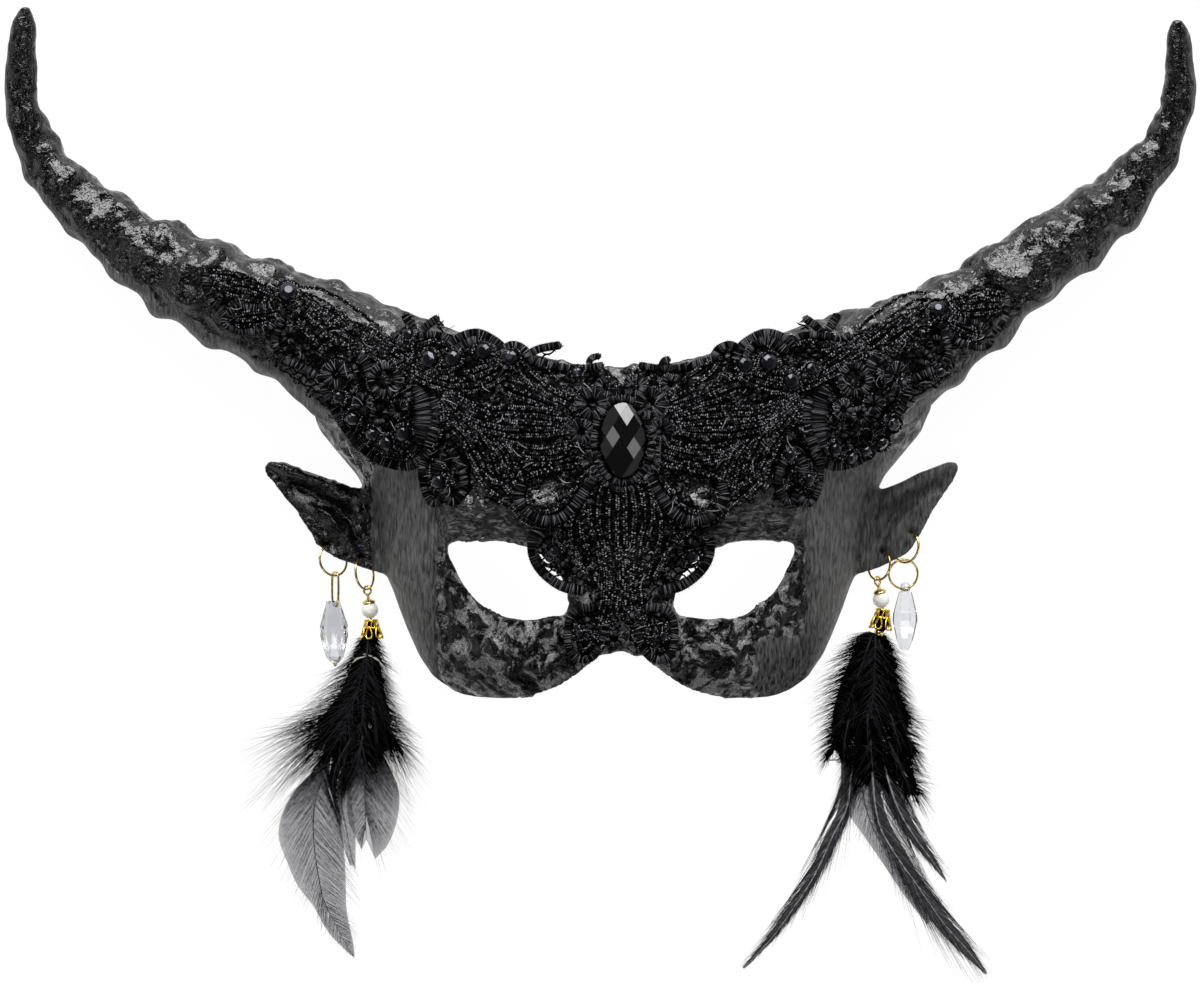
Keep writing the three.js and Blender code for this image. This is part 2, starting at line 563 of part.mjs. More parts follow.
// Feathers: a fluffy tuft and long vanes, flat on the table, each drawn by its outline or midline
const LEFT_TUFT = [
  [-87.2, -49.2], [-90.8, -55.5], [-94.8, -63.1], [-100.2, -69.2], [-107.5, -74.5], [-112.9, -79.9],
  [-116.9, -85.9], [-120.3, -95], [-118.3, -103.3], [-112.6, -105.4], [-107.5, -103.3], [-97.5, -103.3],
  [-90.8, -106.7], [-83.4, -105.4], [-76.7, -103.3], [-73.4, -95], [-70, -85.9], [-73.4, -78.2],
  [-75.4, -69.8], [-77.4, -60.5], [-80.6, -49.2]];
const LEFT_LONG_VANE = [
  [-98, -98], [-107.5, -103.3], [-114.9, -113.4], [-115.6, -120.1], [-112.6, -128.5], [-105.9, -138.5],
  [-97.5, -149.2], [-90.8, -157.3], [-90.1, -150.2], [-90.8, -136.8], [-91.5, -123.4], [-90.1, -108]];
const LEFT_SHORT_VANE = [
  [-94, -100], [-91.6, -112], [-90, -124.7], [-87.6, -121], [-85.6, -118.6], [-84.4, -122.4],
  [-82.6, -127.4], [-79.4, -119], [-75.4, -107], [-80, -98]];
const RIGHT_TUFT = [
  [83.3, -49.6], [74.8, -54.5], [68.2, -61.7], [65.8, -81.6], [66.3, -94.8], [72, -92.4], [79.5, -90],
  [86, -91.5], [93, -95], [99, -95.6], [103.7, -93.8], [104.2, -81.6], [98.5, -69.2], [97.5, -59.8],
  [93.7, -54], [89.6, -49.6]];
const RIGHT_VANES = [
  { width: 4.2, midline: [[78, -80], [74.8, -101.4], [64.4, -127.9], [47.4, -152.5], [41.5, -161]] },
  { width: 4, midline: [[83, -85], [87.1, -106.2], [99.4, -132.7], [117.4, -156.3], [123.8, -163.4]] },
  { width: 3.6, midline: [[88, -88], [94.7, -109], [101.3, -120.3], [109.8, -131.2]] },
  { width: 6, midline: [[79, -82], [86.2, -115.6], [97, -134], [111.7, -152.5]] },
];
const VANE = 1.2;

function tuft(outline) {
  const shape = new THREE.Shape(outline.map(([x, y]) => new THREE.Vector2(x, y)));
  const middle = shape.getPoints().reduce((sum, point) => sum.add(point), new THREE.Vector2())
    .divideScalar(outline.length);
  const slices = new THREE.ExtrudeGeometry(shape, { depth: 1, steps: 3, bevelEnabled: false });
  return toSolid(warped(slices, (x, y, z) => {
    const inset = 0.07 + 0.36 * (z - 0.5) ** 2 * 4 * 0.6;
    const near = THREE.MathUtils.smoothstep(-y, 46, 62);
    return [
      THREE.MathUtils.lerp(x, middle.x, inset * near),
      THREE.MathUtils.lerp(y, middle.y, inset * near * 0.5), z * (6.6 + near * 1.6)];
  }));
}

function vane({ width, midline }) {
  const path = new THREE.SplineCurve(midline.map(([x, y]) => new THREE.Vector2(x, y)));
  const blade = new THREE.BoxGeometry(1, 1, 1, 7, 1, 1);
  return toSolid(warped(blade, (a, b, c) => {
    const t = a + 0.5;
    const place = path.getPointAt(t);
    const along = path.getTangentAt(t);
    const half = b * width * (1 - t ** 3 * 0.82);
    return [place.x - along.y * half, place.y + along.x * half, c > 0 ? VANE : 0];
  }));
}

function stem({ feather, bellMouth }) {
  const start = vector(bellMouth).lerp(vector(feather), 0.09);
  const length = start.distanceTo(vector(feather)) + 3;
  return laid(turned([[0, 0], [0.7, 0], [0.8, length], [0, length]], 8), start.toArray(), feather);
}

const leftFeathers = () => joined([
  tuft(LEFT_TUFT), prism(LEFT_LONG_VANE, 0, VANE, 1, false), prism(LEFT_SHORT_VANE, 0, VANE, 1, false),
  stem(PENDANTS.left)]);
const rightFeathers = () => joined([
  tuft(RIGHT_TUFT), ...RIGHT_VANES.map(vane), stem(PENDANTS.right)]);

// Assembly
function piece(name, solid, material) {
  const mesh = new THREE.Mesh(toGeometry(solid), material);
  mesh.name = name;
  return mesh;
}

const mask = new THREE.Group();
const channels = joined(CHANNELLED.map((ring) => wireRing(ring, 1.5 * GAP)));
mask.add(piece('mask_shell', thinned(maskShell(channels)), blackLacquer));
mask.add(piece('lace_applique', thinned(laceApplique()), blackLace));
mask.add(seat(piece('centre_gem', gemSolid(), blackStone), skinHeight, ...GEM_CENTRE, GEM_HALF_LENGTH));
STONES.forEach((stone, index) => mask.add(rhinestone(stone, index)));
mask.add(piece('ring_left_outer', wireRing(leftOuterRing), goldWire));
mask.add(piece('ring_left_inner', wireRing(leftInnerRing), goldWire));
mask.add(piece('ring_right_outer', wireRing(rightOuterRing), goldWire));
mask.add(piece('ring_right_lower', wireRing(rightLowerRing), goldWire));
mask.add(piece('ring_right_inner', wireRing(rightInnerRing), goldWire));
mask.add(piece('bail_left', wireRing(leftBail), goldWire));
mask.add(piece('crystal_left',
  crystalDrop([-96.9, -36.8, 4.7], [-96.2, -58.9, 4.9], 10, leftBail), clearGlass));
mask.add(piece('crystal_right',
  crystalDrop([95.8, -30.6, 4.6], [95.5, -53.4, 4.4], 9, rightLowerRing), clearGlass));
for (const [side, pendant] of Object.entries(PENDANTS)) {
  mask.add(piece(`eye_pin_${side}`, eyePin(pendant), goldWire));
  mask.add(piece(`pearl_${side}`, pearlBead(pendant), pearlCoat));
  mask.add(piece(`pearl_cap_${side}`, pearlCap(pendant), antiqueGold));
  mask.add(piece(`filigree_bell_${side}`, filigreeBell(pendant), antiqueGold));
}
mask.add(piece('crimp_ring', crimpRing(), goldWire));
mask.add(piece('feather_cluster_left', leftFeathers(), blackFeather));
mask.add(piece('feather_cluster_right', rightFeathers(), blackFeather));

// The origin is on the table, under the middle of the whole mask
mask.updateMatrixWorld(true);
const middle = new THREE.Box3().setFromObject(mask).getCenter(new THREE.Vector3());
mask.position.set(-middle.x, -middle.y, 0);

export default mask;
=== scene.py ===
"""Devil half mask: a black lacquered half mask with ridged horns and pointed ears, corded lace with
rhinestones over its forehead, a faceted oval stone, and pendants of crystal, pearl and feathers."""

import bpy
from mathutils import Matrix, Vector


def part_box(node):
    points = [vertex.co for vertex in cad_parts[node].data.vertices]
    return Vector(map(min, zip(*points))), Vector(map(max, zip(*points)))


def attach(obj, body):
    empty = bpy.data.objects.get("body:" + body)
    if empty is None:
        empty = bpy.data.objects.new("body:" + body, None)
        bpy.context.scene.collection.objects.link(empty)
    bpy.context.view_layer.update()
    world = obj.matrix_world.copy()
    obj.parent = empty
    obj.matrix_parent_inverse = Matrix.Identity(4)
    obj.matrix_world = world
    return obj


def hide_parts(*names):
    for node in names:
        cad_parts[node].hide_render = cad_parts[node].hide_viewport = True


bl_info = {
    "name": "Devil half mask",
    "version": (1, 0, 0),
    "blender": (4, 5, 0),
    "location": "3D View > Sidebar > Half Mask",
    "description": "Dresses a horned half mask with lacquer, lace, stones, pendants and feathers",
    "category": "Object",
}

import math
import random
from functools import partial

import bmesh
import bpy
import numpy as np
from bpy.props import FloatProperty, FloatVectorProperty, IntProperty, PointerProperty
from bpy.types import Operator, Panel, PropertyGroup
from mathutils import Matrix, Vector, noise
from mathutils.bvhtree import BVHTree
from mathutils.kdtree import KDTree

MM = 0.001
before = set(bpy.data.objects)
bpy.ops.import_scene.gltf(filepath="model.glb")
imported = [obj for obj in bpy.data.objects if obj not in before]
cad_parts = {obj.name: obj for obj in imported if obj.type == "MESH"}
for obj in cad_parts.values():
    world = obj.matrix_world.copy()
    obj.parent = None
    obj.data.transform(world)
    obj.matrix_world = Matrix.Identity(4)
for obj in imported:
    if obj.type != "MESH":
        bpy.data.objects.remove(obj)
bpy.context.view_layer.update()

# The middle of the face in the frame, and the grid that the lace and feathers are drawn on
FACE = Vector((7.014 * MM, 0.227 * MM, 0))
GRID_STEP = 0.335
GRID_MIDDLE = (621, 491.5)


# Colours, nodes and materials

def linear(colour):
    """A hex sRGB colour as linear red, green, blue and alpha. The colour of a setting is linear
    already."""
    if not isinstance(colour, str):
        return colour
    parts = [int(colour[i:i + 2], 16) / 255 for i in (1, 3, 5)]
    return [c / 12.92 if c <= 0.04045 else ((c + 0.055) / 1.055) ** 2.4 for c in parts] + [1]


def add_node(tree, kind, inputs=(), output=0, **settings):
    """Adds a node with its settings, and with its inputs by name or in order, each a value or a link
    from another node's output. Gives one of its own outputs."""
    node = tree.nodes.new("ShaderNode" + kind)
    for name, value in settings.items():
        setattr(node, name, value)
    for name, value in inputs.items() if isinstance(inputs, dict) else enumerate(inputs):
        if isinstance(value, bpy.types.NodeSocket):
            tree.links.new(value, node.inputs[name])
        else:
            node.inputs[name].default_value = value
    return node.outputs[output] if node.outputs else None


def new_material(name):
    """An empty material, the function that adds nodes to it, and its Object coordinates."""
    material = bpy.data.materials.new(name)
    material.use_nodes = True
    material.node_tree.nodes.clear()
    node = partial(add_node, material.node_tree)
    return material, node, node("TexCoord", output="Object")


def finish_material(node, shade, dark, light, values, relief=None, depth=MM, strength=1.0):
    """The surface: its colour goes from a dark to a light one with the shade, and the relief presses
    a bump as deep as the depth into it."""
    colour = node("Mix", {"Factor": shade, "A": linear(dark), "B": linear(light)}, "Result",
                  data_type="RGBA")
    values = {"Base Color": colour, **values}
    if relief:
        values["Normal"] = node("Bump", {"Height": relief, "Strength": strength, "Distance": depth})
    node("OutputMaterial", {"Surface": node("BsdfPrincipled", values)})


def tilted_facets(node, place, cell):
    """The height in millimetres of flat facets, each tilted its own way."""
    spot = node("VectorMath", (place, [1 / (cell * MM)] * 3), operation="MULTIPLY")
    wander = node("TexNoise", {"Vector": spot, "Scale": 0.8}, "Color")
    spot = node("VectorMath", (wander, (1.4, 1.4, 1.4), spot), operation="MULTIPLY_ADD")
    cells = node("TexVoronoi", {"Vector": spot, "Scale": 1.0}).node.outputs
    offset = node("VectorMath", (spot, cells["Position"]), operation="SUBTRACT")
    tilt = node("VectorMath", (cells["Color"], (0.5, 0.5, 0.5)), operation="SUBTRACT")
    height = node("VectorMath", (offset, tilt), "Value", operation="DOT_PRODUCT")
    return node("Math", (height, cell), operation="MULTIPLY")


def crinkled_lacquer():
    """Black alkyd lacquer over a moulded shell skinned with crumpled tissue: glossy facets with
    sharp creases on top, bark-like folds on the brow, and a satin skin with fine drawn wrinkles
    down the sides."""
    material, node, place = new_material("crinkled_black_lacquer")
    crumple, bark, painted_glints = (node("Attribute", output="Fac", attribute_name=name)
                            for name in ("crumple", "bark", "painted_glints"))
    # Cells in millimetres, detail, roughness and distortion. The crumpled skin ends in torn edges
    # 5 mm from tip to tip and has creases about 2 mm apart. Wrinkles 0.7 mm apart and 4 mm long
    # were drawn down the sides, folds 1.2 mm apart and 4 mm long lie across the brow, and the
    # painted highlights on the cheeks lie in flakes 6 mm across with a grain of 1.2 mm.
    torn, folds, drawn, rows, glint_flakes, grain = (
        node("TexNoise", {
            "Vector": node("VectorMath", (place, [1 / (size * MM) for size in cell]),
                           operation="MULTIPLY"),
            "Scale": 1.0, "Detail": detail, "Roughness": rough, "Distortion": warp})
        for cell, detail, rough, warp in (
            ((5, 5, 5), 3, 0.5, 0), ((1.8, 1.8, 1.8), 1, 0.5, 1), ((1 / 1.4, 4, 4), 3, 0.5, 0.4),
            ((4, 1.25, 2), 2, 0.5, 0.8), ((6, 6, 6), 7, 0.68, 0.7), ((1.2, 1.2, 1.2), 3, 0.6, 2)))
    ragged = node("MapRange", (torn, 0, 1, -0.45, 0.45))
    gloss = node("MapRange", (node("Math", (crumple, ragged), operation="ADD"), 0.42, 0.56))
    # Facets 2.6 mm across between the creases
    facets = node("Math", (tilted_facets(node, place, 2.6), 0.32), operation="MULTIPLY")
    creases = node("Math", (node("Math", (folds, 0.5), operation="SUBTRACT"),), operation="ABSOLUTE")
    creases = node("Math", (creases, 0.1), operation="MINIMUM")
    relief = node("Math", (facets, node("Math", (creases, 0.6), operation="MULTIPLY")), operation="ADD")
    wrinkles = node("Math", (drawn, 0.6), operation="MULTIPLY")
    height = node("Mix", {0: gloss, 2: wrinkles, 3: relief})
    height = node("Mix", {0: bark, 2: height, 3: node("Math", (rows, 4.0), operation="MULTIPLY")})
    # Base colour, mostly painted light: painted highlights as grey flakes on black over the cheeks
    # and ears, a painted reflection in light grey on the satin sides and on the brow's bark, and
    # black under the gloss
    glint_specks = node("MapRange", (node("MapRange", (grain, 0.32, 0.68)), 0, 1, 0.01, 0.27))
    glint_tone = node("Math", (node("MapRange", (glint_flakes, 0.5, 0.56)), glint_specks), operation="MULTIPLY")
    glint_haze = node("MapRange", (node("MapRange", (glint_flakes, 0.42, 0.5)), 0, 1, 0.0, 0.004))
    glint_tone = node("Math", (glint_tone, glint_haze), operation="ADD")
    tone = node("Mix", {0: painted_glints, 2: node("MapRange", (folds, 0, 1, -0.015, 0.015)), 3: glint_tone})
    # Painted reflection on the satin sides: light grey, lightest on the wrinkles' raised ridges
    tone = node("Mix", {0: gloss, 2: node("MapRange", (drawn, 0, 1, -0.085, 0.215)), 3: tone})
    # Painted highlight and shade on the brow's bark: light on the folds' tops, dark in their grooves
    tone = node("Mix", {0: bark, 2: tone, 3: node("MapRange", (rows, 0, 1, -0.34, 0.4))})
    satin = node("MapRange", (torn, 0, 1, 0.42, 0.62))
    patches = node("MapRange", (node("MapRange", (torn, 0.4, 0.62)), 0, 1, 0.05, 0.2))
    shine, dull = node("MapRange", (gloss, 0, 1, 0.3, 0.44)), node("MapRange", (painted_glints, 0, 1, 0.0, 0.3))
    finish_material(node, tone, "#000000", "#ffffff", {
        "Roughness": node("Mix", {0: gloss, 2: satin, 3: patches}), "IOR": 1.52,
        "Specular IOR Level": node("Math", (shine, dull), operation="SUBTRACT")}, height)
    return material


def viscose_thread(name, dark, light):
    """Black viscose embroidery thread in close stitches, of fibres bundled 0.5 mm wide, with
    painted highlights: some stitches are painted light, and the rest sink into black."""
    material, node, place = new_material(name)
    stitch_highlight = node("Attribute", output="Fac", attribute_name="stitch_highlight")
    fibres = node("TexNoise", {"Vector": place, "Scale": 1 / (0.5 * MM)})
    lit = node("Math", (stitch_highlight, node("MapRange", (fibres, 0, 1, 0.3, 1.7))), operation="MULTIPLY")
    finish_material(node, lit, dark, light, {
        "Roughness": 0.65, "Specular IOR Level": node("MapRange", (lit, 0, 1, 0.02, 0.35))},
        fibres, 0.1 * MM)
    return material


def polished_acrylic(name, dark, light, metallic, roughness):
    """Cast acrylic, polished: a mirror-flat gloss on every facet, over foil where it is metallic."""
    material, node, place = new_material(name)
    cloud = node("TexNoise", {"Vector": place, "Scale": 1 / (6 * MM)})
    finish_material(node, cloud, dark, light, {
        "Metallic": metallic, "Roughness": roughness, "Coat Weight": 0.15, "Coat Roughness": 0.02})
    return material


def gilt_brass(name, dark, light, roughness):
    """Gold-plated brass: warm, with darker tarnish where the plating is thin."""
    material, node, place = new_material(name)
    tarnish = node("TexNoise", {"Vector": place, "Scale": 1 / (1.6 * MM), "Detail": 3.0})
    finish_material(node, node("MapRange", (tarnish, 0, 1, -0.4, 1.4)), dark, light, {
        "Metallic": 1.0, "Roughness": roughness}, tarnish, 0.05 * MM, 0.3)
    return material


def pearl_lacquer():
    """Imitation pearl: layers of nacre lacquer over a bead, soft white under a clear gloss."""
    material, node, place = new_material("pearl_lacquer")
    layers = node("TexNoise", {"Vector": place, "Scale": 1 / (2.5 * MM)})
    finish_material(node, layers, "#f2ede2", "#fdfcf8", {
        "Roughness": 0.28, "Coat Weight": 0.7, "Coat Roughness": 0.08, "Sheen Weight": 0.3})
    return material


def cut_glass(name, dark, light):
    """Lead-free cut glass: clear, with polished flat facets."""
    material, node, place = new_material(name)
    cords = node("TexNoise", {"Vector": place, "Scale": 1 / (5 * MM)})
    finish_material(node, cords, dark, light, {
        "Roughness": 0.02, "IOR": 1.54, "Transmission Weight": 1.0})
    return material


def feather_keratin(name, dark, light, gloss=0.0, cover=1.0, shaded=False):
    """Dyed feather barbs: matt keratin in cloudy shades, see-through where the barbs are thin. A
    shaded vane darkens towards the tuft that it comes out of."""
    material, node, place = new_material(name)
    shade = node("MapRange", (node("TexNoise", {"Vector": place, "Scale": 1 / (1.6 * MM)}), 0.2, 0.8))
    if shaded:
        up = node("SeparateXYZ", (place,), "Y")
        near = node("MapRange", (up, FACE.y - 110 * MM, FACE.y - 88 * MM))
        shade = node("Math", (shade, node("MapRange", (near, 0, 1, 1.2, 0.0))), operation="MULTIPLY")
        cover = node("MapRange", (near, 0, 1, cover, 1.0))
    finish_material(node, shade, dark, light, {
        "Roughness": 0.7, "Specular IOR Level": gloss, "Alpha": cover})
    return material


# Meshes: copies of the frame's solids, strands along curves, and lathe-like pieces

def merged_mesh(node):
    """A copy of a frame solid's mesh with its loose triangles joined, in the frame."""
    work = bmesh.new()
    work.from_mesh(node.data)
    work.transform(node.matrix_world)
    bmesh.ops.remove_doubles(work, verts=work.verts, dist=1e-6)
    return work


def as_mesh(work):
    """A bmesh as a mesh."""
    mesh = bpy.data.meshes.new("work")
    work.to_mesh(mesh)
    work.free()
    return mesh


def new_piece(name, mesh, material, replaced=(), smooth=True):
    """Shows a mesh, or a bmesh, as a piece that rides on the mask, with the given material. It
    stands for the frame's nodes that it replaces."""
    if isinstance(mesh, bmesh.types.BMesh):
        mesh = as_mesh(mesh)
    mesh.name = name
    mesh.materials.clear()
    mesh.materials.append(material)
    mesh.polygons.foreach_set("use_smooth", [smooth] * len(mesh.polygons))
    piece = bpy.data.objects.new(name, mesh)
    bpy.context.scene.collection.objects.link(piece)
    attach(piece, "root")
    if replaced:
        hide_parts(*replaced)


def applied(obj):
    """The mesh of an object with its modifiers applied. The object is removed."""
    graph = bpy.context.evaluated_depsgraph_get()
    mesh = bpy.data.meshes.new_from_object(obj.evaluated_get(graph), depsgraph=graph)
    bpy.data.objects.remove(obj)
    return mesh


def loose_object(data):
    """An object that is only there while a piece is made."""
    obj = bpy.data.objects.new("work", data)
    bpy.context.scene.collection.objects.link(obj)
    return obj


def modify(obj, kind, **settings):
    """Adds a modifier with its settings."""
    modifier = obj.modifiers.new(kind.lower(), kind)
    for name, value in settings.items():
        setattr(modifier, name, value)


def even_path(points, step, closed=False):
    """Points at even steps along a smooth curve through the given points."""
    points = np.asarray(points, float)
    if len(points) == 2:
        dense = points
    else:
        if closed:
            around = np.vstack([points[-1], points, points[0], points[1]])
        else:
            around = np.vstack([2 * points[0] - points[1], points, 2 * points[-1] - points[-2]])
        t = np.linspace(0, 1, 12, endpoint=False)[:, None]
        parts = []
        for a, b, c, d in zip(around[:-3], around[1:-2], around[2:-1], around[3:]):
            parts.append(0.5 * (2 * b + (c - a) * t + (2 * a - 5 * b + 4 * c - d) * t ** 2
                                + (3 * b - a - 3 * c + d) * t ** 3))
        parts.append(around[-2][None])
        dense = np.vstack(parts)
    run = np.concatenate([[0], np.cumsum(np.linalg.norm(np.diff(dense, axis=0), axis=1))])
    count = max(int(round(run[-1] / step)), 2)
    at = np.linspace(0, run[-1], count + 1)
    if closed:
        at = at[:-1]
    return np.stack([np.interp(at, run, dense[:, k]) for k in range(dense.shape[1])], axis=1)


def strand_mesh(lines, ring=6, flat=None, stitched=False, ribbon=False):
    """The mesh of many strands. Each is its points in metres, its radii in millimetres, and whether
    it is closed. Flat strands have an oval section, and ribbons lie flat and have no thickness.
    Stitched strands are single stitches, each with its own painted highlight as an attribute."""
    curve = bpy.data.curves.new("strands", "CURVE")
    curve.dimensions = "3D"
    curve.twist_mode = "Z_UP"
    profile = None
    if ribbon:
        curve.extrude = MM
    elif flat:
        oval = bpy.data.curves.new("oval", "CURVE")
        oval.dimensions = "2D"
        loop = oval.splines.new("POLY")
        loop.points.add(ring - 1)
        for i, point in enumerate(loop.points):
            turn = i * 2 * math.pi / ring
            point.co = (MM * math.cos(turn), MM * flat * math.sin(turn), 0, 1)
        loop.use_cyclic_u = True
        profile = loose_object(oval)
        curve.bevel_mode = "OBJECT"
        curve.bevel_object = profile
    else:
        curve.bevel_depth = MM
        curve.bevel_resolution = (ring - 4) // 2
    for points, radii, closed in lines:
        spline = curve.splines.new("POLY")
        spline.points.add(len(points) - 1)
        places = np.ones((len(points), 4))
        places[:, :3] = points
        spline.points.foreach_set("co", places.ravel())
        widths = np.array(np.broadcast_to(radii, len(points)), float)
        if not closed and not ribbon:
            widths[[0, -1]] = 0
        spline.points.foreach_set("radius", widths)
        if ribbon:
            spline.points.foreach_set("tilt", np.full(len(points), math.pi / 2))
        spline.use_cyclic_u = closed
    mesh = applied(loose_object(curve))
    if profile:
        bpy.data.objects.remove(profile)
    if stitched:
        # A painted highlight for each stitch: most stay dark, a few are painted light
        sheen = np.random.default_rng(5).uniform(0, 1, len(lines)) ** 3.2
        counts = [len(points) * ring for points, _, _ in lines]
        note = mesh.attributes.new("stitch_highlight", "FLOAT", "POINT")
        note.data.foreach_set("value", np.repeat(sheen, counts))
    if not ribbon:
        work = bmesh.new()
        work.from_mesh(mesh)
        bmesh.ops.remove_doubles(work, verts=work.verts, dist=1e-7)
        work.to_mesh(mesh)
        work.free()
    return mesh


def combined(mesh, other, operation):
    """A mesh with another one cut out of it or joined to it."""
    body, tool = loose_object(mesh), loose_object(other)
    modify(body, "BOOLEAN", operation=operation, solver="EXACT", object=tool)
    result = applied(body)
    bpy.data.objects.remove(tool)
    return result


def faceted(rings, sides, length, width):
    """A closed solid of flat facets through rings of corners: radius, height and turn."""
    cut = bmesh.new()
    for radius, level, turn in rings:
        for i in range(sides):
            angle = (i + turn) * 2 * math.pi / sides
            cut.verts.new((radius * width * math.cos(angle), radius * width * math.sin(angle),
                           level * length))
    bmesh.ops.convex_hull(cut, input=cut.verts)
    bmesh.ops.recalc_face_normals(cut, faces=cut.faces)
    return cut


def turned(outline, turns):
    """A closed outline of (radius, height) in millimetres, spun about +Z."""
    work = bmesh.new()
    verts = [work.verts.new((r * MM, 0, h * MM)) for r, h in outline]
    edges = [work.edges.new(pair) for pair in zip(verts, verts[1:] + verts[:1])]
    bmesh.ops.spin(work, geom=verts + edges, axis=(0, 0, 1), cent=(0, 0, 0), steps=turns,
                   angle=2 * math.pi, use_merge=True)
    bmesh.ops.remove_doubles(work, verts=work.verts, dist=1e-7)
    bmesh.ops.recalc_face_normals(work, faces=work.faces)
    return work


def upright(start, end):
    """The matrix that stands something on start with its +Z towards end."""
    return Matrix.Translation(start) @ (end - start).to_track_quat("Z", "Y").to_matrix().to_4x4()


def face_point(x, y, z=0.0):
    """A place on the face in millimetres as a place in the frame."""
    return Vector((x * MM, y * MM, z * MM)) + FACE


def seat_of(node):
    """Where a small round solid stands: the middle of its base, its axis, radius and height."""
    work = merged_mesh(node)
    places = np.array([v.co for v in work.verts])
    work.free()
    middle = places.mean(axis=0)
    axis = np.linalg.svd(places - middle)[2][2]
    axis = Vector(axis if axis[2] > 0 else -axis)
    along = (places - middle) @ np.array(axis)
    across = places - middle - along[:, None] * np.array(axis)
    return (Vector(middle) + axis * along.min(), axis,
            np.linalg.norm(across, axis=1).max(), along.max() - along.min())


# The mask's moulding

def smooth_step(value, low, high):
    """0 below low, 1 above high, and smooth between."""
    t = np.clip((value - low) / (high - low), 0, 1)
    return t * t * (3 - 2 * t)


def lattice_value(corner, seed):
    """A value between -1 and 1 for each corner of a lattice."""
    mix = corner.astype(np.int64) @ np.array([73856093, 19349663, 83492791]) + 7919 * seed
    mix = (mix ^ (mix >> 13)) * 1274126177 & 0x7FFFFFFF
    return ((mix ^ (mix >> 15)) & 0xFFFF) / 32767.5 - 1


def creased(places, cell, seed):
    """Heights between -1 and 1, flat between sharp creases: linear between the corners of a lattice
    of tetrahedra. The places and the cell are in millimetres."""
    at = places / cell + 0.3 * np.sin(places[:, [1, 2, 0]] * 2.3 / cell + seed)
    at += at.sum(axis=1, keepdims=True) / 3
    corner = np.floor(at)
    order = np.argsort(corner - at, axis=1)
    share = np.take_along_axis(at - corner, order, axis=1)
    height = (1 - share[:, 0]) * lattice_value(corner, seed)
    rows = np.arange(len(at))
    for k in range(3):
        corner[rows, order[:, k]] += 1
        height += (share[:, k] - (share[:, k + 1] if k < 2 else 0)) * lattice_value(corner, seed)
    return height


# Folds and grooves of the left ear in millimetres on the face: the path, the height and the width
EAR_FOLDS = [
    ([(-118.3, 8.5), (-107.5, 5.9), (-97.5, 1.5), (-90.1, -3.9), (-86.8, -8.9)], 1.1, 2.6),
    ([(-110.2, 1.8), (-103.5, -0.8), (-97.5, -4.2), (-92.1, -9.5), (-88.4, -16.2)], -2.2, 1.5),
    ([(-108.9, -1.2), (-103.5, -5.2), (-98.2, -8.2), (-94.1, -13.2), (-90.8, -18.3)], 1.7, 2.2),
    ([(-90.8, 3.9), (-86.8, -2.5), (-85.1, -9.5)], -1.8, 1.5),
    ([(-117.6, 3.9), (-110.9, -4.9), (-103.5, -16.2), (-94.1, -25)], 0.7, 1.8)]
# The holes that the rings go through, and where each ring lies on the lobe from there
RING_HOLES = [fold for hole, end in (
    ((-99.2, -17.9), (-101.5, -22)), ((-87.2, -22), (-89.2, -25)), ((97.6, -13.4), (100.2, -16.9)),
    ((88.1, -19.9), (90.6, -22.8)))
    for fold in (([hole, end], -1.1, 1.5), ([hole, (hole[0], hole[1] + 0.1)], -2.2, 0.75))]
# Where highlights are painted on the ears, in flakes like those on the cheeks: the path, the
# brightness and the width
EAR_GLINTS = [
    ([(-108.9, -0.2), (-103.5, -3.9), (-98.2, -7.5)], 1.2, 2.4),
    ([(-97.2, -11.6), (-93.8, -12.9)], 1.5, 1.3),
    ([(-89.4, -2.1), (-89.1, -2.6)], 1.4, 1.2), ([(-88.3, -6.6), (-88.1, -7.6)], 1.2, 1.6)]
# The right ear reaches less far out from its root than the left one
RIGHT_EAR_REACH = 0.82
EAR_ROOT = 86
# How far out the horns and the temples begin, and how far up the horns do, in millimetres
HORN_OUT, TEMPLE_OUT, HORN_UP = 66, 61, 24
# The moulding's mesh is finer this close to the middle of a ring's hole
HOLE_REACH = 3.4 * MM
# The crumpled skin in millimetres: how far apart the corners of its large and small facets are, and
# the size and height of the swells under it and of the bark on the brow
FACETS = (5.5, 2.9)
SWELL, SWELL_RISE = 8.5, 1.5
BARK, BARK_RISE = (6, 2), 1.4


def fold_relief(folds, out, up):
    """The height of folds in millimetres, at places out from the middle and up."""
    height = np.zeros(len(out))
    for path, rise, width in folds:
        points = np.array(path)
        nearest = np.full(len(out), 1e9)
        for a, b in zip(points, points[1:]):
            ahead = b - a
            along = np.clip(((out - a[0]) * ahead[0] + (up - a[1]) * ahead[1]) / ahead.dot(ahead), 0, 1)
            nearest = np.minimum(nearest, np.hypot(out - a[0] - along * ahead[0],
                                                   up - a[1] - along * ahead[1]))
        height += rise * np.exp(-(nearest / width) ** 2)
    return height


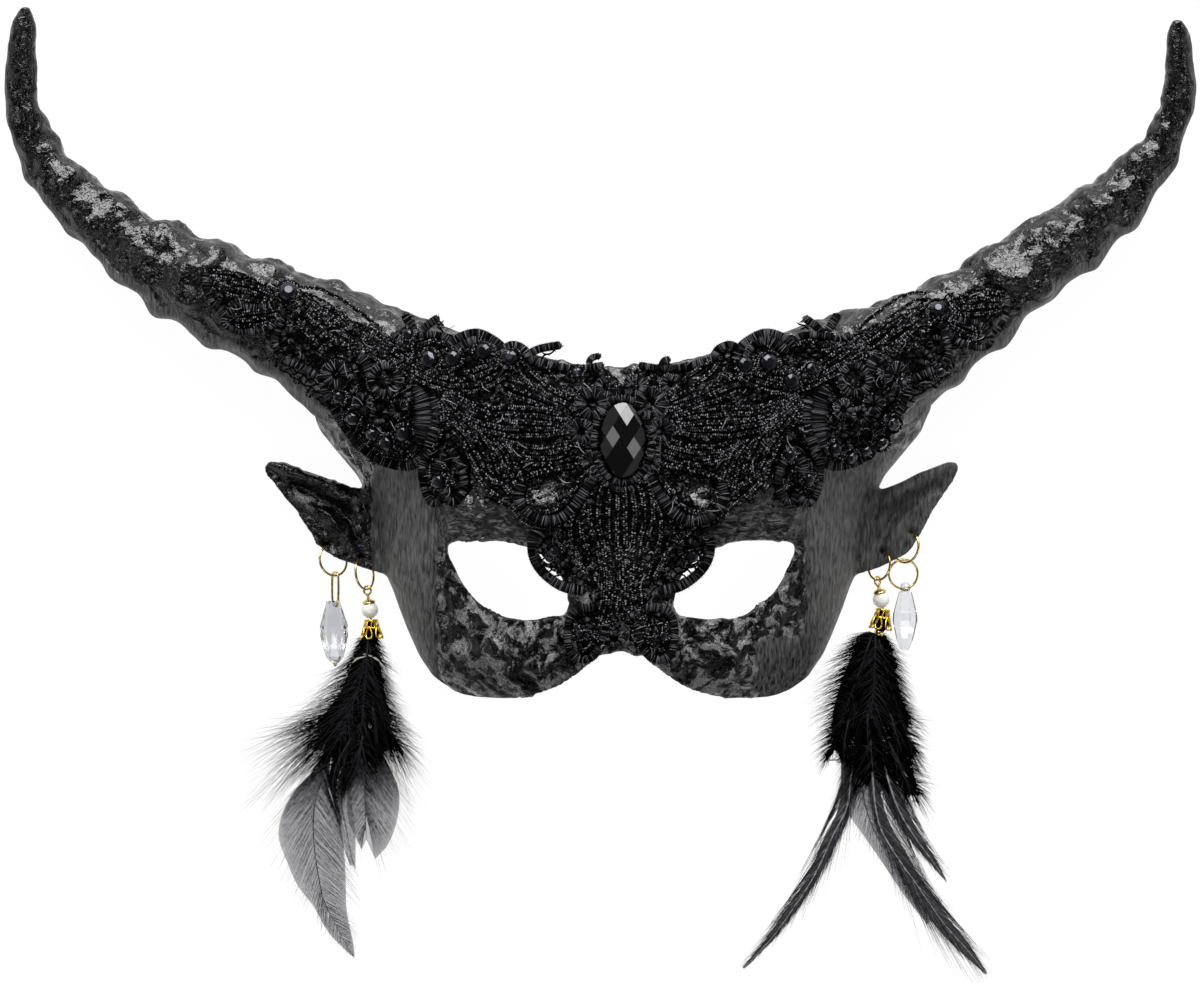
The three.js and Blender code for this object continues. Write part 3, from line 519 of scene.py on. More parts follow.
def crumple_skin(mesh, depth):
    """Presses the relief of crumpled, lacquered tissue into a fine mesh of the mask, and notes
    how crumpled each place is. The tops are crumpled, the temples are drawn smooth."""
    count = len(mesh.vertices)
    places, normals = np.empty(count * 3), np.empty(count * 3)
    mesh.vertices.foreach_get("co", places)
    mesh.vertex_normals.foreach_get("vector", normals)
    places, normals = places.reshape(-1, 3), normals.reshape(-1, 3)
    x = (places[:, 0] - FACE.x) / MM
    y = (places[:, 1] - FACE.y) / MM
    side = np.abs(x)
    front = smooth_step(normals[:, 2], -0.2, 0.2)
    top = smooth_step(normals[:, 2], 0.0, 0.3)
    brow = np.exp(-((y + 10.5) / 6) ** 4) * smooth_step(side, 22, 30) * smooth_step(-side, -60, -54)
    brow *= smooth_step(normals[:, 2], 0.2, 0.5)
    temple = smooth_step(side, 57, 66) * smooth_step(-side, -88, -80) * smooth_step(-y, -14, -4)
    horn = smooth_step(side, 60, 74) * smooth_step(y, 18, 30)
    # On the horns the lower and outer sides are smooth
    outward = normals[:, 0] * np.sign(x)
    upper = smooth_step(0.75 * normals[:, 2] + 0.77 * normals[:, 1] - 0.45 * outward, -0.25, 0.15)
    crumple = (top + (upper - top) * horn) * (1 - temple) * (1 - 0.6 * brow)
    ear = smooth_step(side, 80, 88) * smooth_step(-y, -16, -13)
    crumple *= 1 - 0.85 * ear * (x > 0)
    # The lower right cheek is smooth too, and highlights are painted in flakes on the rest of the
    # cheeks
    crumple *= 1 - smooth_step(x, 40, 50) * smooth_step(-y, 44, 52)
    painted_glints = smooth_step(-y, 16, 21) * smooth_step(-side, -68, -62)
    spots = places / MM
    facets = ((1.2 - 0.3 * horn) * creased(spots, FACETS[0], 3)
              + (0.5 - 0.2 * horn) * creased(spots, FACETS[1], 8))
    tip = smooth_step(y, 128, 150)
    lift = depth * crumple * (1 - 0.15 * ear) * (1 - 0.75 * tip) * facets
    swell = (0.4 * front * (1 - temple) + 0.75 * horn) * (1 - 0.8 * tip)
    for i in np.nonzero((swell > 0.05) & (normals[:, 2] > -0.5))[0]:
        lift[i] += swell[i] * SWELL_RISE * noise.noise(Vector(spots[i]) / SWELL)
    for i in np.nonzero(brow > 0.02)[0]:
        across, up = spots[i][:2]
        lift[i] += BARK_RISE * brow[i] * noise.noise(
            Vector((across / BARK[0], up / BARK[1] + 0.5 * math.sin(across / 5), 3)))
    places += normals * (lift * MM)[:, None]
    on_ear = np.nonzero(ear > 0)[0]
    out = -np.where(x > 0, EAR_ROOT + (side - EAR_ROOT) / RIGHT_EAR_REACH, side)[on_ear]
    relief = fold_relief(EAR_FOLDS, out, y[on_ear]) + fold_relief(RING_HOLES, x[on_ear], y[on_ear])
    places[on_ear, 2] += relief * ear[on_ear] * MM
    # Painted highlights on the ears, in flakes like those on the cheeks
    painted_glints[on_ear] += fold_relief(EAR_GLINTS, x[on_ear], y[on_ear])
    mesh.vertices.foreach_set("co", places.ravel())
    for name, value in (("crumple", crumple), ("bark", brow), ("painted_glints", painted_glints)):
        note = mesh.attributes.new(name, "FLOAT", "POINT")
        note.data.foreach_set("value", np.clip(value, 0, 1))
    mesh.update()


class MASK_OT_moulding(Operator):
    """Makes the crinkled black moulding over the frame's mask"""
    bl_idname = "half_mask.moulding"
    bl_label = "Moulding"

    def execute(self, context):
        settings = context.scene.half_mask_moulding
        obj = loose_object(as_mesh(merged_mesh(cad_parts["mask_shell"])))
        modify(obj, "REMESH", mode="VOXEL", voxel_size=settings.voxel)
        work = bmesh.new()
        work.from_mesh(applied(obj))
        horns, sides = (
            [v for v in work.verts
             if abs(v.co.x - FACE.x) > out * MM and (v.co.y > HORN_UP * MM) == on_horn]
            for out, on_horn in ((HORN_OUT, True), (TEMPLE_OUT, False)))
        for verts, times in ((work.verts, 3), (horns, 12), (sides, 6)):
            for _ in range(times):
                bmesh.ops.smooth_vert(work, verts=verts, factor=0.5, use_axis_x=True, use_axis_y=True,
                                      use_axis_z=True)
        # Fine faces round the small holes in the ears
        spots = [face_point(*path[0]) for path, _, width in RING_HOLES if width < 1]
        near = {edge for vert in work.verts for edge in vert.link_edges if vert.normal.z > 0 and any(
            (vert.co.xy - spot.xy).length < HOLE_REACH for spot in spots)}
        near = sorted(near, key=lambda edge: edge.index)
        bmesh.ops.subdivide_edges(work, edges=near, cuts=2, use_grid_fill=True, smooth=0.5)
        bmesh.ops.triangulate(work, faces=[face for face in work.faces if len(face.verts) > 4])
        mesh = as_mesh(work)
        crumple_skin(mesh, settings.crumple / MM)
        # The unseen back needs fewer faces
        obj = loose_object(mesh)
        back = obj.vertex_groups.new(name="back")
        back.add([v.index for v in mesh.vertices if v.normal.z < -0.25], 1.0, "REPLACE")
        modify(obj, "DECIMATE", vertex_group=back.name, vertex_group_factor=2.0,
               ratio=settings.triangles / (2 * len(mesh.polygons)))
        new_piece("moulding", applied(obj), crinkled_lacquer(), ["mask_shell"])
        return {"FINISHED"}


# The lace. Its strands are drawn on the grid, on one half of the mask, and mirrored.
# Fans of cords: the first and the last cord, how many, and how wide one is
FANS = [
    ([(206, 271), (228, 272), (248, 277), (263, 285), (276, 292)],
     [(214, 288), (236, 297), (256, 301), (277, 302)], 4, 1.9),
    ([(279, 309), (258, 312), (236, 315)], [(276, 321), (256, 326), (236, 326)], 3, 1.9),
    ([(300, 287), (322, 290), (345, 302), (366, 317), (384, 331)],
     [(294, 308), (301, 324), (311, 338), (324, 350)], 5, 1.9),
    ([(322, 300), (345, 316), (372, 334), (400, 350)],
     [(312, 322), (332, 336), (350, 348), (366, 358)], 4, 1.8),
    ([(384, 334), (402, 348), (422, 363), (442, 372), (462, 374), (486, 367), (500, 357)],
     [(366, 354), (394, 368), (420, 381), (442, 390), (468, 393), (492, 386), (508, 375)], 4, 1.8),
    ([(448, 392), (466, 401), (490, 408), (516, 408), (545, 411), (572, 419)],
     [(444, 400), (464, 419), (486, 431), (512, 436), (540, 436), (568, 433)], 5, 1.9),
    ([(508, 378), (530, 386), (552, 398), (576, 408)],
     [(504, 392), (520, 399), (545, 407), (570, 415)], 3, 1.8),
    ([(532, 360), (548, 372), (564, 386), (578, 398)],
     [(517, 368), (526, 382), (544, 396), (566, 404)], 3, 1.8),
    ([(450, 404), (466, 420), (483, 436), (494, 454), (500, 474)],
     [(440, 404), (450, 424), (462, 440), (470, 456), (480, 474)], 4, 1.8),
    ([(500, 440), (512, 452), (518, 468), (522, 482)],
     [(490, 442), (500, 456), (506, 474), (512, 494)], 3, 1.8),
    ([(504, 440), (524, 446), (548, 447), (574, 441)],
     [(516, 458), (532, 464), (554, 464), (580, 456)], 4, 1.8),
    ([(597, 478), (590, 498), (590, 520), (597, 545), (603, 575), (602, 600), (596, 622), (588, 640)],
     [(618, 488), (617, 512), (617, 540), (618, 570), (618, 600), (612, 626), (601, 650)], 4, 1.9),
    ([(584, 494), (574, 512), (570, 530), (578, 556), (590, 580)],
     [(588, 500), (582, 518), (582, 536), (590, 558), (598, 584)], 2, 1.8),
    ([(560, 524), (566, 540), (574, 556), (582, 572)],
     [(546, 524), (556, 534), (570, 548), (582, 566)], 2, 1.7),
]
# Satin edges: the points of each, and its width
EDGES = [
    ([(282, 306), (262, 308), (240, 308), (228, 314), (226, 324), (237, 331), (256, 331), (273, 326),
      (284, 314)], 2.4),
    ([(322, 374), (328, 396), (340, 418), (352, 436), (368, 452), (388, 463), (410, 466), (424, 457),
      (433, 438), (438, 414), (434, 398)], 3.4),
    ([(431, 450), (424, 462), (423, 478), (427, 494), (433, 503), (441, 501), (446, 490)], 2.8),
    ([(446, 490), (450, 501), (459, 500), (465, 488), (464, 474), (459, 462), (452, 450)], 2.8),
    ([(522, 484), (519, 497), (526, 510), (540, 519), (556, 520), (570, 511), (584, 493),
      (595, 476)], 3.6),
    ([(538, 526), (533, 541), (534, 556), (541, 569), (553, 580), (566, 587), (584, 590)], 3.6),
    ([(598, 606), (580, 608), (570, 617), (568, 634), (571, 650), (580, 658), (592, 656), (602, 642),
      (607, 622)], 2.8),
    ([(450, 347), (461, 338), (478, 334), (494, 341), (504, 350), (507, 362)], 3.2),
    ([(456, 353), (466, 345), (480, 341), (491, 347), (498, 356)], 3.2),
    ([(503, 351), (513, 346), (524, 350), (530, 359)], 3.0),
    ([(206, 272), (207, 290), (214, 304), (226, 316)], 2.4),
    ([(284, 316), (279, 330), (276, 344), (283, 358), (300, 366), (318, 376)], 2.6),
    ([(528, 360), (560, 368), (584, 369), (604, 366)], 2.6),
    ([(392, 334), (402, 340), (412, 338), (422, 336), (440, 336), (452, 342)], 2.4),
]
# Single cords
CORDS = [
    ([(530, 490), (529, 500), (536, 509), (547, 512), (559, 507), (571, 494), (583, 476)], 2.0),
    ([(524, 480), (540, 472), (558, 469), (580, 464)], 2.2),
    ([(330, 386), (338, 404), (350, 424), (364, 441), (380, 453), (398, 458), (412, 456),
      (422, 444)], 1.9),
    ([(441, 402), (444, 420), (440, 436), (434, 450)], 1.9),
    ([(436, 404), (437, 420), (433, 436), (428, 448)], 1.9),
    ([(600, 368), (608, 377), (607, 392)], 2.0),
    ([(612, 384), (621, 388), (630, 384)], 1.9),
    ([(470, 350), (484, 341), (496, 346), (498, 362), (488, 368)], 1.6),
    ([(440, 458), (446, 468), (452, 476), (456, 488)], 1.9),
    ([(434, 460), (432, 472), (434, 486), (438, 494)], 1.9),
    ([(576, 622), (576, 636), (580, 648), (590, 646), (596, 630)], 1.7),
    ([(356, 322), (380, 334), (398, 342), (412, 350), (424, 352)], 1.8),
    ([(400, 344), (416, 346), (434, 342), (452, 346)], 1.8),
    ([(418, 366), (430, 372), (444, 372), (460, 368)], 1.8),
    ([(480, 470), (492, 480), (504, 486), (516, 500)], 2.0),
    ([(474, 462), (478, 476), (490, 490), (504, 500)], 2.0),
    ([(500, 500), (512, 508), (524, 520), (536, 528)], 2.2),
]
# Rosettes of radial stitches: the middle, the radius of its ring and the ring's width in grid steps
ROSETTES = [
    (290, 336, 6, 5), (286, 354, 5, 4), (318, 337, 4, 4), (337, 375, 8, 13), (386, 380, 14, 8),
    (592, 405, 10.5, 13), (582, 432, 7.5, 11), (593, 462, 6.5, 9), (607, 388, 7, 10), (554, 549, 9, 6),
    (554, 549, 17, 4.5), (583, 633, 6.5, 5), (614, 637, 6, 4), (572, 385, 6, 8), (304, 352, 5, 6),
    (352, 372, 5, 6), (364, 404, 6, 8), (355, 396, 4.5, 5), (400, 410, 6, 8), (380, 415, 7, 5),
    (474, 436, 4.5, 5), (560, 482, 4, 4), (512, 424, 5, 6),
]
# Satin leaves: the midline and the widest place in grid steps
LEAVES = [
    ([(416, 386), (424, 404), (426, 426), (420, 450)], 19),
    ([(356, 352), (366, 362), (372, 378)], 12),
    ([(446, 452), (440, 468), (442, 484)], 12),
]
# Straps that stand over the rim, on one side or on both
LEFT_STRAPS = [([(526, 357), (540, 350), (562, 346)], 3.0), ([(588, 366), (592, 359), (601, 357)], 2.4)]
RIGHT_STRAPS = [([(660, 370), (664, 362), (670, 361)], 2.8)]
STRAPS = [([(416, 332), (409, 322), (405, 314)], 3.2), ([(420, 334), (430, 325), (440, 318)], 3.0)]

# Half the centre stone's width and height, and how far from it each ring runs and how wide it is
GEM_HALF = (8, 12.4)
GEM_RINGS = ((1.7, 2.4), (3.9, 1.8))
# The cord width that the fans and cords are drawn for, and how far a cord sways, in millimetres
DRAWN_CORD = 1.9
SWAY = 0.16
# The distances between the net's threads, its points, the stitches of cords and of satin, and the
# places where a knot may lie, in millimetres
NET_STEP = 2.3
NET_POINT = 1.1
CORD_STITCH = 0.75
SATIN_STITCH = 0.42
KNOT_STEP = 1.3
# How far the net lies below the lace's upper face, and how much of the bare net has no knot
NET_DEPTH = 1.75
KNOT_FREE = 0.82
# From this far out, the right horn reaches out less than the left by this share, and lies lower by
# this much this far on
HORN_ROOT = 74
RIGHT_SHORTER = 0.15
RIGHT_LOWER, RIGHT_LOWER_AT = 8, 64.7


def grid_place(column, row):
    """A place on the grid as millimetres out from the middle of the face, and up it."""
    return (GRID_MIDDLE[0] - column) * GRID_STEP, (GRID_MIDDLE[1] - row) * GRID_STEP


def on_side(points, side):
    """Grid points as x and y in the frame, on the left (-1) or mirrored to the right (1). The
    right half reaches less far out along its horn."""
    places = []
    for column, row in points:
        out, up = grid_place(column, row)
        beyond = max(out - HORN_ROOT, 0) if side > 0 else 0
        spot = face_point(side * (out - RIGHT_SHORTER * beyond),
                          up - RIGHT_LOWER * (beyond / RIGHT_LOWER_AT) ** 2)
        places.append((spot.x, spot.y))
    return places


class LaceGround:
    """The frame's lace solid, which the strands are laid on."""

    def __init__(self):
        work = merged_mesh(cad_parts["lace_applique"])
        self.tree = BVHTree.FromBMesh(work)
        work.free()

    def height(self, x, y):
        """The height of the lace's upper face, and whether there is lace at this place."""
        hit = self.tree.ray_cast(Vector((x, y, 0.2)), Vector((0, 0, -1)))[0]
        if hit is not None:
            return hit.z, True
        z = 0.06
        for _ in range(3):
            z = self.tree.find_nearest(Vector((x, y, z)))[0].z
        return z, False

    def lay(self, path, level):
        """A flat path as points at a level above the lace's upper face, in millimetres."""
        heights = np.array([self.height(x, y)[0] for x, y in path])
        padded = np.concatenate([heights[:1], heights, heights[-1:]])
        eased = (padded[:-2] + 2 * padded[1:-1] + padded[2:]) / 4
        return np.column_stack([path, eased + np.asarray(level) * MM])


def drawn_in(count, width, ease):
    """Half widths along a strand, drawn in at both ends if it is eased."""
    half = np.full(count, width / 2)
    if ease and count > 4:
        half[[0, -1]] *= 0.55
        half[[1, -2]] *= 0.85
    return half


def stitches_over(laid, half, rng, paired, bulge):
    """The stitches over a strand: pairs that meet in a V along its middle, or single ones from edge
    to edge. Their ends stand out a little. The bulge is the strand's height for its width."""
    ahead = np.gradient(laid, axis=0)
    ahead /= np.linalg.norm(ahead, axis=1)[:, None] + 1e-9
    aside = np.column_stack([-ahead[:, 1], ahead[:, 0], np.zeros(len(laid))])
    aside /= np.linalg.norm(aside, axis=1)[:, None] + 1e-9
    reach = np.array((0, 0.62, 1.1) if paired else (-1.2, -0.62, 0, 0.62, 1.2))
    rise = bulge * np.sqrt(np.clip(1 - reach ** 2, 0, 1))
    found = []
    for spot, along, out, wide in zip(laid, ahead, aside, half):
        for hand in ((-1, 1) if paired else (1,)):
            lean = rng.gauss(0.45 if paired else 0, 0.16)
            place = (spot + out * (hand * reach * wide * rng.uniform(0.9, 1.12))[:, None] * MM
                     - along * (lean * reach)[:, None] * MM)
            place[:, 2] += (rise * wide + rng.uniform(0, 0.14)) * MM
            found.append((place, rng.uniform(0.16, 0.26) if paired else rng.uniform(0.1, 0.15), False))
    return found


def wandering(path, rng):
    """A path that sways a little from side to side, as a hand-guided cord does."""
    path = np.asarray(path, float)
    ahead = np.gradient(path, axis=0)
    ahead /= np.linalg.norm(ahead, axis=1)[:, None] + 1e-9
    along = np.linspace(0, 1, len(path))
    turns = np.linalg.norm(np.diff(path, axis=0), axis=1).sum() / MM / rng.uniform(7, 14)
    sway = np.sin(2 * math.pi * (along * turns + rng.random())) * np.sin(math.pi * along) ** 0.5
    return path + np.column_stack([-ahead[:, 1], ahead[:, 0]]) * (sway * SWAY * MM)[:, None]


def between(first, last, count):
    """Paths that pass evenly from one path to another."""
    a, b = even_path(first, 1), even_path(last, 1)
    steps = max(len(a), len(b), 12)
    a, b = (np.stack([np.interp(np.linspace(0, 1, steps), np.linspace(0, 1, len(p)), p[:, k])
                      for k in (0, 1)], axis=1) for p in (a, b))
    return [a + (b - a) * share for share in np.linspace(0, 1, count)]


def ring_points(x, y, radius, count=16):
    """Points round a circle."""
    turn = np.linspace(0, 2 * math.pi, count, endpoint=False)
    return np.column_stack([x + radius * np.cos(turn), y + radius * np.sin(turn)])


def lace_strands(ground, rng, width_scale):
    """The strands of the lace, cords and satin bands, and the stitches over both."""
    cords, satin, cord_stitches, satin_stitches = [], [], [], []

    def cord(path, width, level, closed=False):
        flat = even_path(path, CORD_STITCH * MM, closed)
        if not closed:
            flat = wandering(flat, rng)
        heave = 0.15 * np.sin(np.linspace(0, len(flat) * 0.2, len(flat)) + rng.uniform(0, 6))
        laid = ground.lay(flat, level + heave)
        half = drawn_in(len(flat), width * width_scale, not closed)
        cords.append((laid, half * 0.9, closed))
        cord_stitches.extend(stitches_over(laid, half, rng, True, 0.9))

    def band(path, width, level, closed=False, leaf=False):
        flat = even_path(path, SATIN_STITCH * MM, closed)
        half = drawn_in(len(flat), width, not closed)
        if leaf:
            half *= np.sin(np.linspace(0.12, math.pi - 0.12, len(flat))) ** 0.6
        laid = ground.lay(flat, level)
        satin.append((laid, half * 0.92, closed))
        if level > -1.5:
            satin_stitches.extend(stitches_over(laid, half, rng, False, 0.5))

    for side in (-1, 1):
        for first, last, count, width in FANS:
            for path in between(first, last, count):
                cord(on_side(path, side), width * rng.uniform(0.88, 1.06), rng.uniform(-0.95, -0.45))
        for path, width in EDGES:
            band(on_side(path, side), width, -0.55)
            band(on_side(path, side), width * 0.9, -2.0)
        for path, width in CORDS:
            cord(on_side(path, side), width, -0.55)
        for column, row, radius, wide in ROSETTES:
            (x, y), = on_side([(column, row)], side)
            # A ring that would close over its middle is drawn out and thinned
            inner, outer = max(radius - wide / 2, 0.5 * radius + 0.5), radius + wide / 2
            radius, wide = (outer + inner) / 2, outer - inner
            band(ring_points(x, y, radius * GRID_STEP * MM), wide * GRID_STEP, -0.6, True)
            if wide > 6:
                cord(ring_points(x, y, (radius + wide / 2) * GRID_STEP * MM), 1.1, -0.7, True)
        for path, wide in LEAVES:
            band(on_side(path, side), wide * GRID_STEP, -0.5, leaf=True)
        for path, width in STRAPS + (LEFT_STRAPS if side < 0 else []):
            band(on_side(path, side), width, -0.6)
            band(on_side(path, side), width * 0.9, -1.6)
    for path, width in RIGHT_STRAPS:
        band([face_point(-x, y).xy for x, y in (grid_place(*point) for point in path)], width, -0.6)
    # Two rings round the centre stone, and one round each rhinestone
    low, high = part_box("centre_gem")
    middle = (low + high) / 2
    for margin, width in GEM_RINGS:
        turn = np.linspace(0, 2 * math.pi, 28, endpoint=False)
        band(np.column_stack([middle.x + (GEM_HALF[0] + margin) * MM * np.sin(turn),
                              middle.y + (GEM_HALF[1] + margin) * MM * np.cos(turn)]),
             width, -0.45, True)
    for name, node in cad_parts.items():
        if name.startswith("rhinestone"):
            base, _, radius, _ = seat_of(node)
            cord(ring_points(base.x, base.y, radius + 0.7 * MM, count=12), 1.4, -0.1, True)
    satin += knots(ground, cords + satin, rng, satin_stitches)
    return cords, satin, cord_stitches, satin_stitches


def knots(ground, strands, rng, stitches):
    """Small stitched rings here and there where the strands leave the net bare."""
    taken = [(point, half) for points, halves, _ in strands
             for point, half in zip(points, np.broadcast_to(halves, len(points)))]
    tree = KDTree(len(taken))
    for i, (point, _) in enumerate(taken):
        tree.insert((point[0], point[1], 0), i)
    tree.balance()
    low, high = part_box("lace_applique")
    found, placed = [], []
    for x in np.arange(low.x, high.x, KNOT_STEP * MM):
        for y in np.arange(low.y, high.y, KNOT_STEP * MM):
            spot = Vector((x + rng.uniform(-0.4, 0.4) * MM, y + rng.uniform(-0.4, 0.4) * MM, 0))
            _, index, distance = tree.find(spot)
            room = distance / MM - taken[index][1]
            if room < 1.2 or rng.random() < KNOT_FREE or not ground.height(spot.x, spot.y)[1]:
                continue
            room = min(room + 0.3, 1.9)
            if all((spot - other).length / MM > room + size for other, size in placed):
                placed.append((spot, room))
                flat = even_path(ring_points(spot.x, spot.y, room * 0.55 * MM, count=8),
                                 SATIN_STITCH * 0.8 * MM, True)
                laid, half = ground.lay(flat, -0.9), drawn_in(len(flat), room * 0.6, False)
                found.append((laid, half * 0.85, True))
                stitches.extend(stitches_over(laid, half, rng, False, 0.5))
    return found


def net_threads(ground):
    """The net that carries the strands, in two directions."""
    low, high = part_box("lace_applique")
    middle, reach = (low + high) / 2, (high - low).length / 2 / MM
    threads = []
    for lean in (0.55, -0.55):
        along = Vector((math.cos(lean), math.sin(lean)))
        across = Vector((-along.y, along.x))
        for row in np.arange(-reach, reach, NET_STEP):
            run = []
            for s in np.arange(-reach, reach, NET_POINT):
                spot = middle.xy + (along * s + across * (row + 0.35 * math.sin(s * 1.4))) * MM
                z, there = ground.height(spot.x, spot.y) if (
                    low.x < spot.x < high.x and low.y < spot.y < high.y) else (0, False)
                if there:
                    run.append((spot.x, spot.y, z - NET_DEPTH * MM))
                if run and not there:
                    if len(run) > 2:
                        threads.append((np.array(run), 0.3, False))
                    run = []
    return threads


def stray_threads(ground, rng, count):
    """Fine loops of thread that cross the lace."""
    low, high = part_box("lace_applique")
    threads = []
    while len(threads) < count:
        x, y = rng.uniform(low.x, high.x), rng.uniform(low.y, high.y)
        if not ground.height(x, y)[1]:
            continue
        turn, length = rng.uniform(0, 2 * math.pi), rng.uniform(2, 6) * MM
        bend = rng.uniform(-1, 1) * 1.2 * MM
        ahead = np.array([math.cos(turn), math.sin(turn)])
        aside = np.array([-ahead[1], ahead[0]])
        path = np.array([[x, y] + ahead * length * t + aside * bend * math.sin(math.pi * t)
                         for t in np.linspace(0, 1, 6)])
        laid = ground.lay(path, 0.25)
        laid[:, 2] += 0.5 * MM * np.sin(np.linspace(0, math.pi, 6))
        threads.append((laid, 0.09, False))
    return threads


class MASK_OT_lace(Operator):
    """Makes the lace: ridged cords, satin bands and rosettes, knots and net"""
    bl_idname = "half_mask.lace"
    bl_label = "Lace"

    def execute(self, context):
        settings = context.scene.half_mask_lace
        ground, rng = LaceGround(), random.Random(11)
        cords, satin, cord_stitches, satin_stitches = lace_strands(
            ground, rng, settings.cord_width / (DRAWN_CORD * MM))
        # The light colours of the thread and the floss are the stitches' painted highlights
        thread = viscose_thread("viscose_cord_thread", "#030304", settings.thread)
        floss = viscose_thread("viscose_floss", "#030304", "#68686c")
        for name, strands, ring, flat, stitched, replaced in (
                ("cords", cords, 6, None, False, ["lace_applique"]),
                ("cord_stitches", cord_stitches, 4, None, True, []),
                ("satin", satin, 8, 0.5, False, []),
                ("satin_stitches", satin_stitches, 4, None, True, []),
                ("net", net_threads(ground), 4, None, False, []),
                ("strays", stray_threads(ground, rng, settings.strays), 4, None, True, [])):
            new_piece(f"lace_{name}", strand_mesh(strands, ring, flat, stitched),
                      floss if "satin" in name else thread, replaced)
        return {"FINISHED"}


# Stones

# Girdle, crown and table: rings of corners turned against each other, by radius, height and turn
STONE_RINGS = ((1, 0, 0), (1, 0.35, 0), (0.84, 0.72, 0.5), (0.42, 1, 0))
# How much higher a cut stone is than its solid
STONE_RISE = 1.15


class MASK_OT_stones(Operator):
    """Makes the rhinestones and finishes the centre stone"""
    bl_idname = "half_mask.stones"
    bl_label = "Stones"

    def execute(self, context):
        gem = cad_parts["centre_gem"]
        black = polished_acrylic("black_acrylic", "#020203", "#060607", 0.0, 0.03)
        gem.data.materials.clear()
        gem.data.materials.append(black)
        foil = polished_acrylic("foiled_acrylic", "#0a0a0c", "#3a3b40", 0.85, 0.06)
        names = sorted(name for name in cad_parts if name.startswith("rhinestone"))
        stones = bmesh.new()
        for name in names:
            base, axis, radius, height = seat_of(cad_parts[name])
            cut = faceted(STONE_RINGS, 8, height * STONE_RISE, radius)
            cut.transform(upright(base, base + axis))
            part = as_mesh(cut)
            stones.from_mesh(part)
            bpy.data.meshes.remove(part)
        bmesh.ops.recalc_face_normals(stones, faces=stones.faces)
        new_piece("rhinestones", stones, foil, names, smooth=False)
        return {"FINISHED"}


# Pendants

WIRES = ["ring_left_outer", "ring_left_inner", "ring_right_outer", "ring_right_lower",
         "ring_right_inner", "bail_left", "eye_pin_left", "eye_pin_right", "crimp_ring"]
CAPS = ["pearl_cap_left", "pearl_cap_right"]
# How much rounding takes off wires and caps, in millimetres, which is added again
WIRE_LOSS, CAP_LOSS = 0.1, 0.04
PEARL_RADIUS = 2.9
PEARL_BORE = 0.75
# Each bell's top and mouth, and each crystal's head, point and width, in millimetres on the face
BELLS = {"left": ((-84.1, -43.2, 3.9), (-83.9, -48.8, 3.85)),
         "right": ((88.3, -39.6, 3.9), (87.4, -45.6, 3.85))}
BELL_RADII = (2.1, 3.6)
CRYSTALS = {"left": ((-96.9, -36.8, 4.7), (-96.2, -58.9, 4.9), 10),
            "right": ((95.8, -30.6, 4.6), (95.5, -53.4, 4.4), 9)}
# The rings of corners of each crystal, from its point up: radius, height and turn
CRYSTAL_RINGS = {
    "left": (6, ((0.03, 0, 0), (0.3, 0.15, 0), (0.47, 0.47, 0), (0.5, 0.55, 0.5), (0.47, 0.62, 0),
                 (0.22, 1, 0))),
    "right": (8, ((0.15, 0, 0.5), (0.34, 0.17, 0.5), (0.5, 0.44, 0.5), (0.48, 0.54, 0.5),
                  (0.26, 0.855, 0.5), (0.2, 0.87, 0.5)))}
# The right drop's round head in millimetres: its radius, how far its middle lies below the drop's end,
# where its bottom is, and the angles of its rings
HEAD_RADIUS, HEAD_SUNK, HEAD_FOOT = 1.75, 1.7, (0.01, -2.4)
HEAD_ANGLES = (0.5, 0.8, 1.1, 1.5, 1.9, 2.3, 2.7, 3.1)
# The ring that runs through each drop, and the room round it in millimetres
THROUGH = {"left": "bail_left", "right": "ring_right_lower"}
BORE_ROOM = 0.3
CRYSTAL_TINTS = {"left": ("#b0b1b6", "#d8d9dc"), "right": ("#dcdde1", "#f0f0f3")}


def rounded_wire(name, gain):
    """A frame wire with its facets rounded, and its thickness kept."""
    work = merged_mesh(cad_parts[name])
    bmesh.ops.join_triangles(work, faces=work.faces, angle_face_threshold=0.9,
                             angle_shape_threshold=1.2)
    obj = loose_object(as_mesh(work))
    modify(obj, "DISPLACE", strength=gain, mid_level=0)
    modify(obj, "SUBSURF", levels=2, render_levels=2)
    return applied(obj)


class MASK_OT_wires(Operator):
    """Rounds the gold rings, pins and caps"""
    bl_idname = "half_mask.wires"
    bl_label = "Rings and pins"

    def execute(self, context):
        gold = gilt_brass("gilt_wire", "#a88f4e", "#f2dc98", 0.18)
        for names, loss, slot in ((WIRES, WIRE_LOSS, "gold_wire"), (CAPS, CAP_LOSS, "antique_gold")):
            for name in names:
                new_piece(f"{name}_gilt", rounded_wire(name, loss * MM), gold, [name])
        return {"FINISHED"}


class MASK_OT_pearls(Operator):
    """Makes the two pearls, bored for their pins"""
    bl_idname = "half_mask.pearls"
    bl_label = "Pearls"

    def execute(self, context):
        pearl = pearl_lacquer()
        edge = math.asin(PEARL_BORE / PEARL_RADIUS)
        arc = [edge + (math.pi - 2 * edge) * i / 16 for i in range(17)]
        outline = [(PEARL_RADIUS * math.sin(a), PEARL_RADIUS * math.cos(a)) for a in arc]
        for side, (top, _) in BELLS.items():
            low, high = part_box(f"pearl_{side}")
            middle = (low + high) / 2
            bead = turned(outline, 32)
            bead.transform(upright(middle, face_point(*top)))
            new_piece(f"pearl_{side}_bead", bead, pearl, [f"pearl_{side}"])
        return {"FINISHED"}


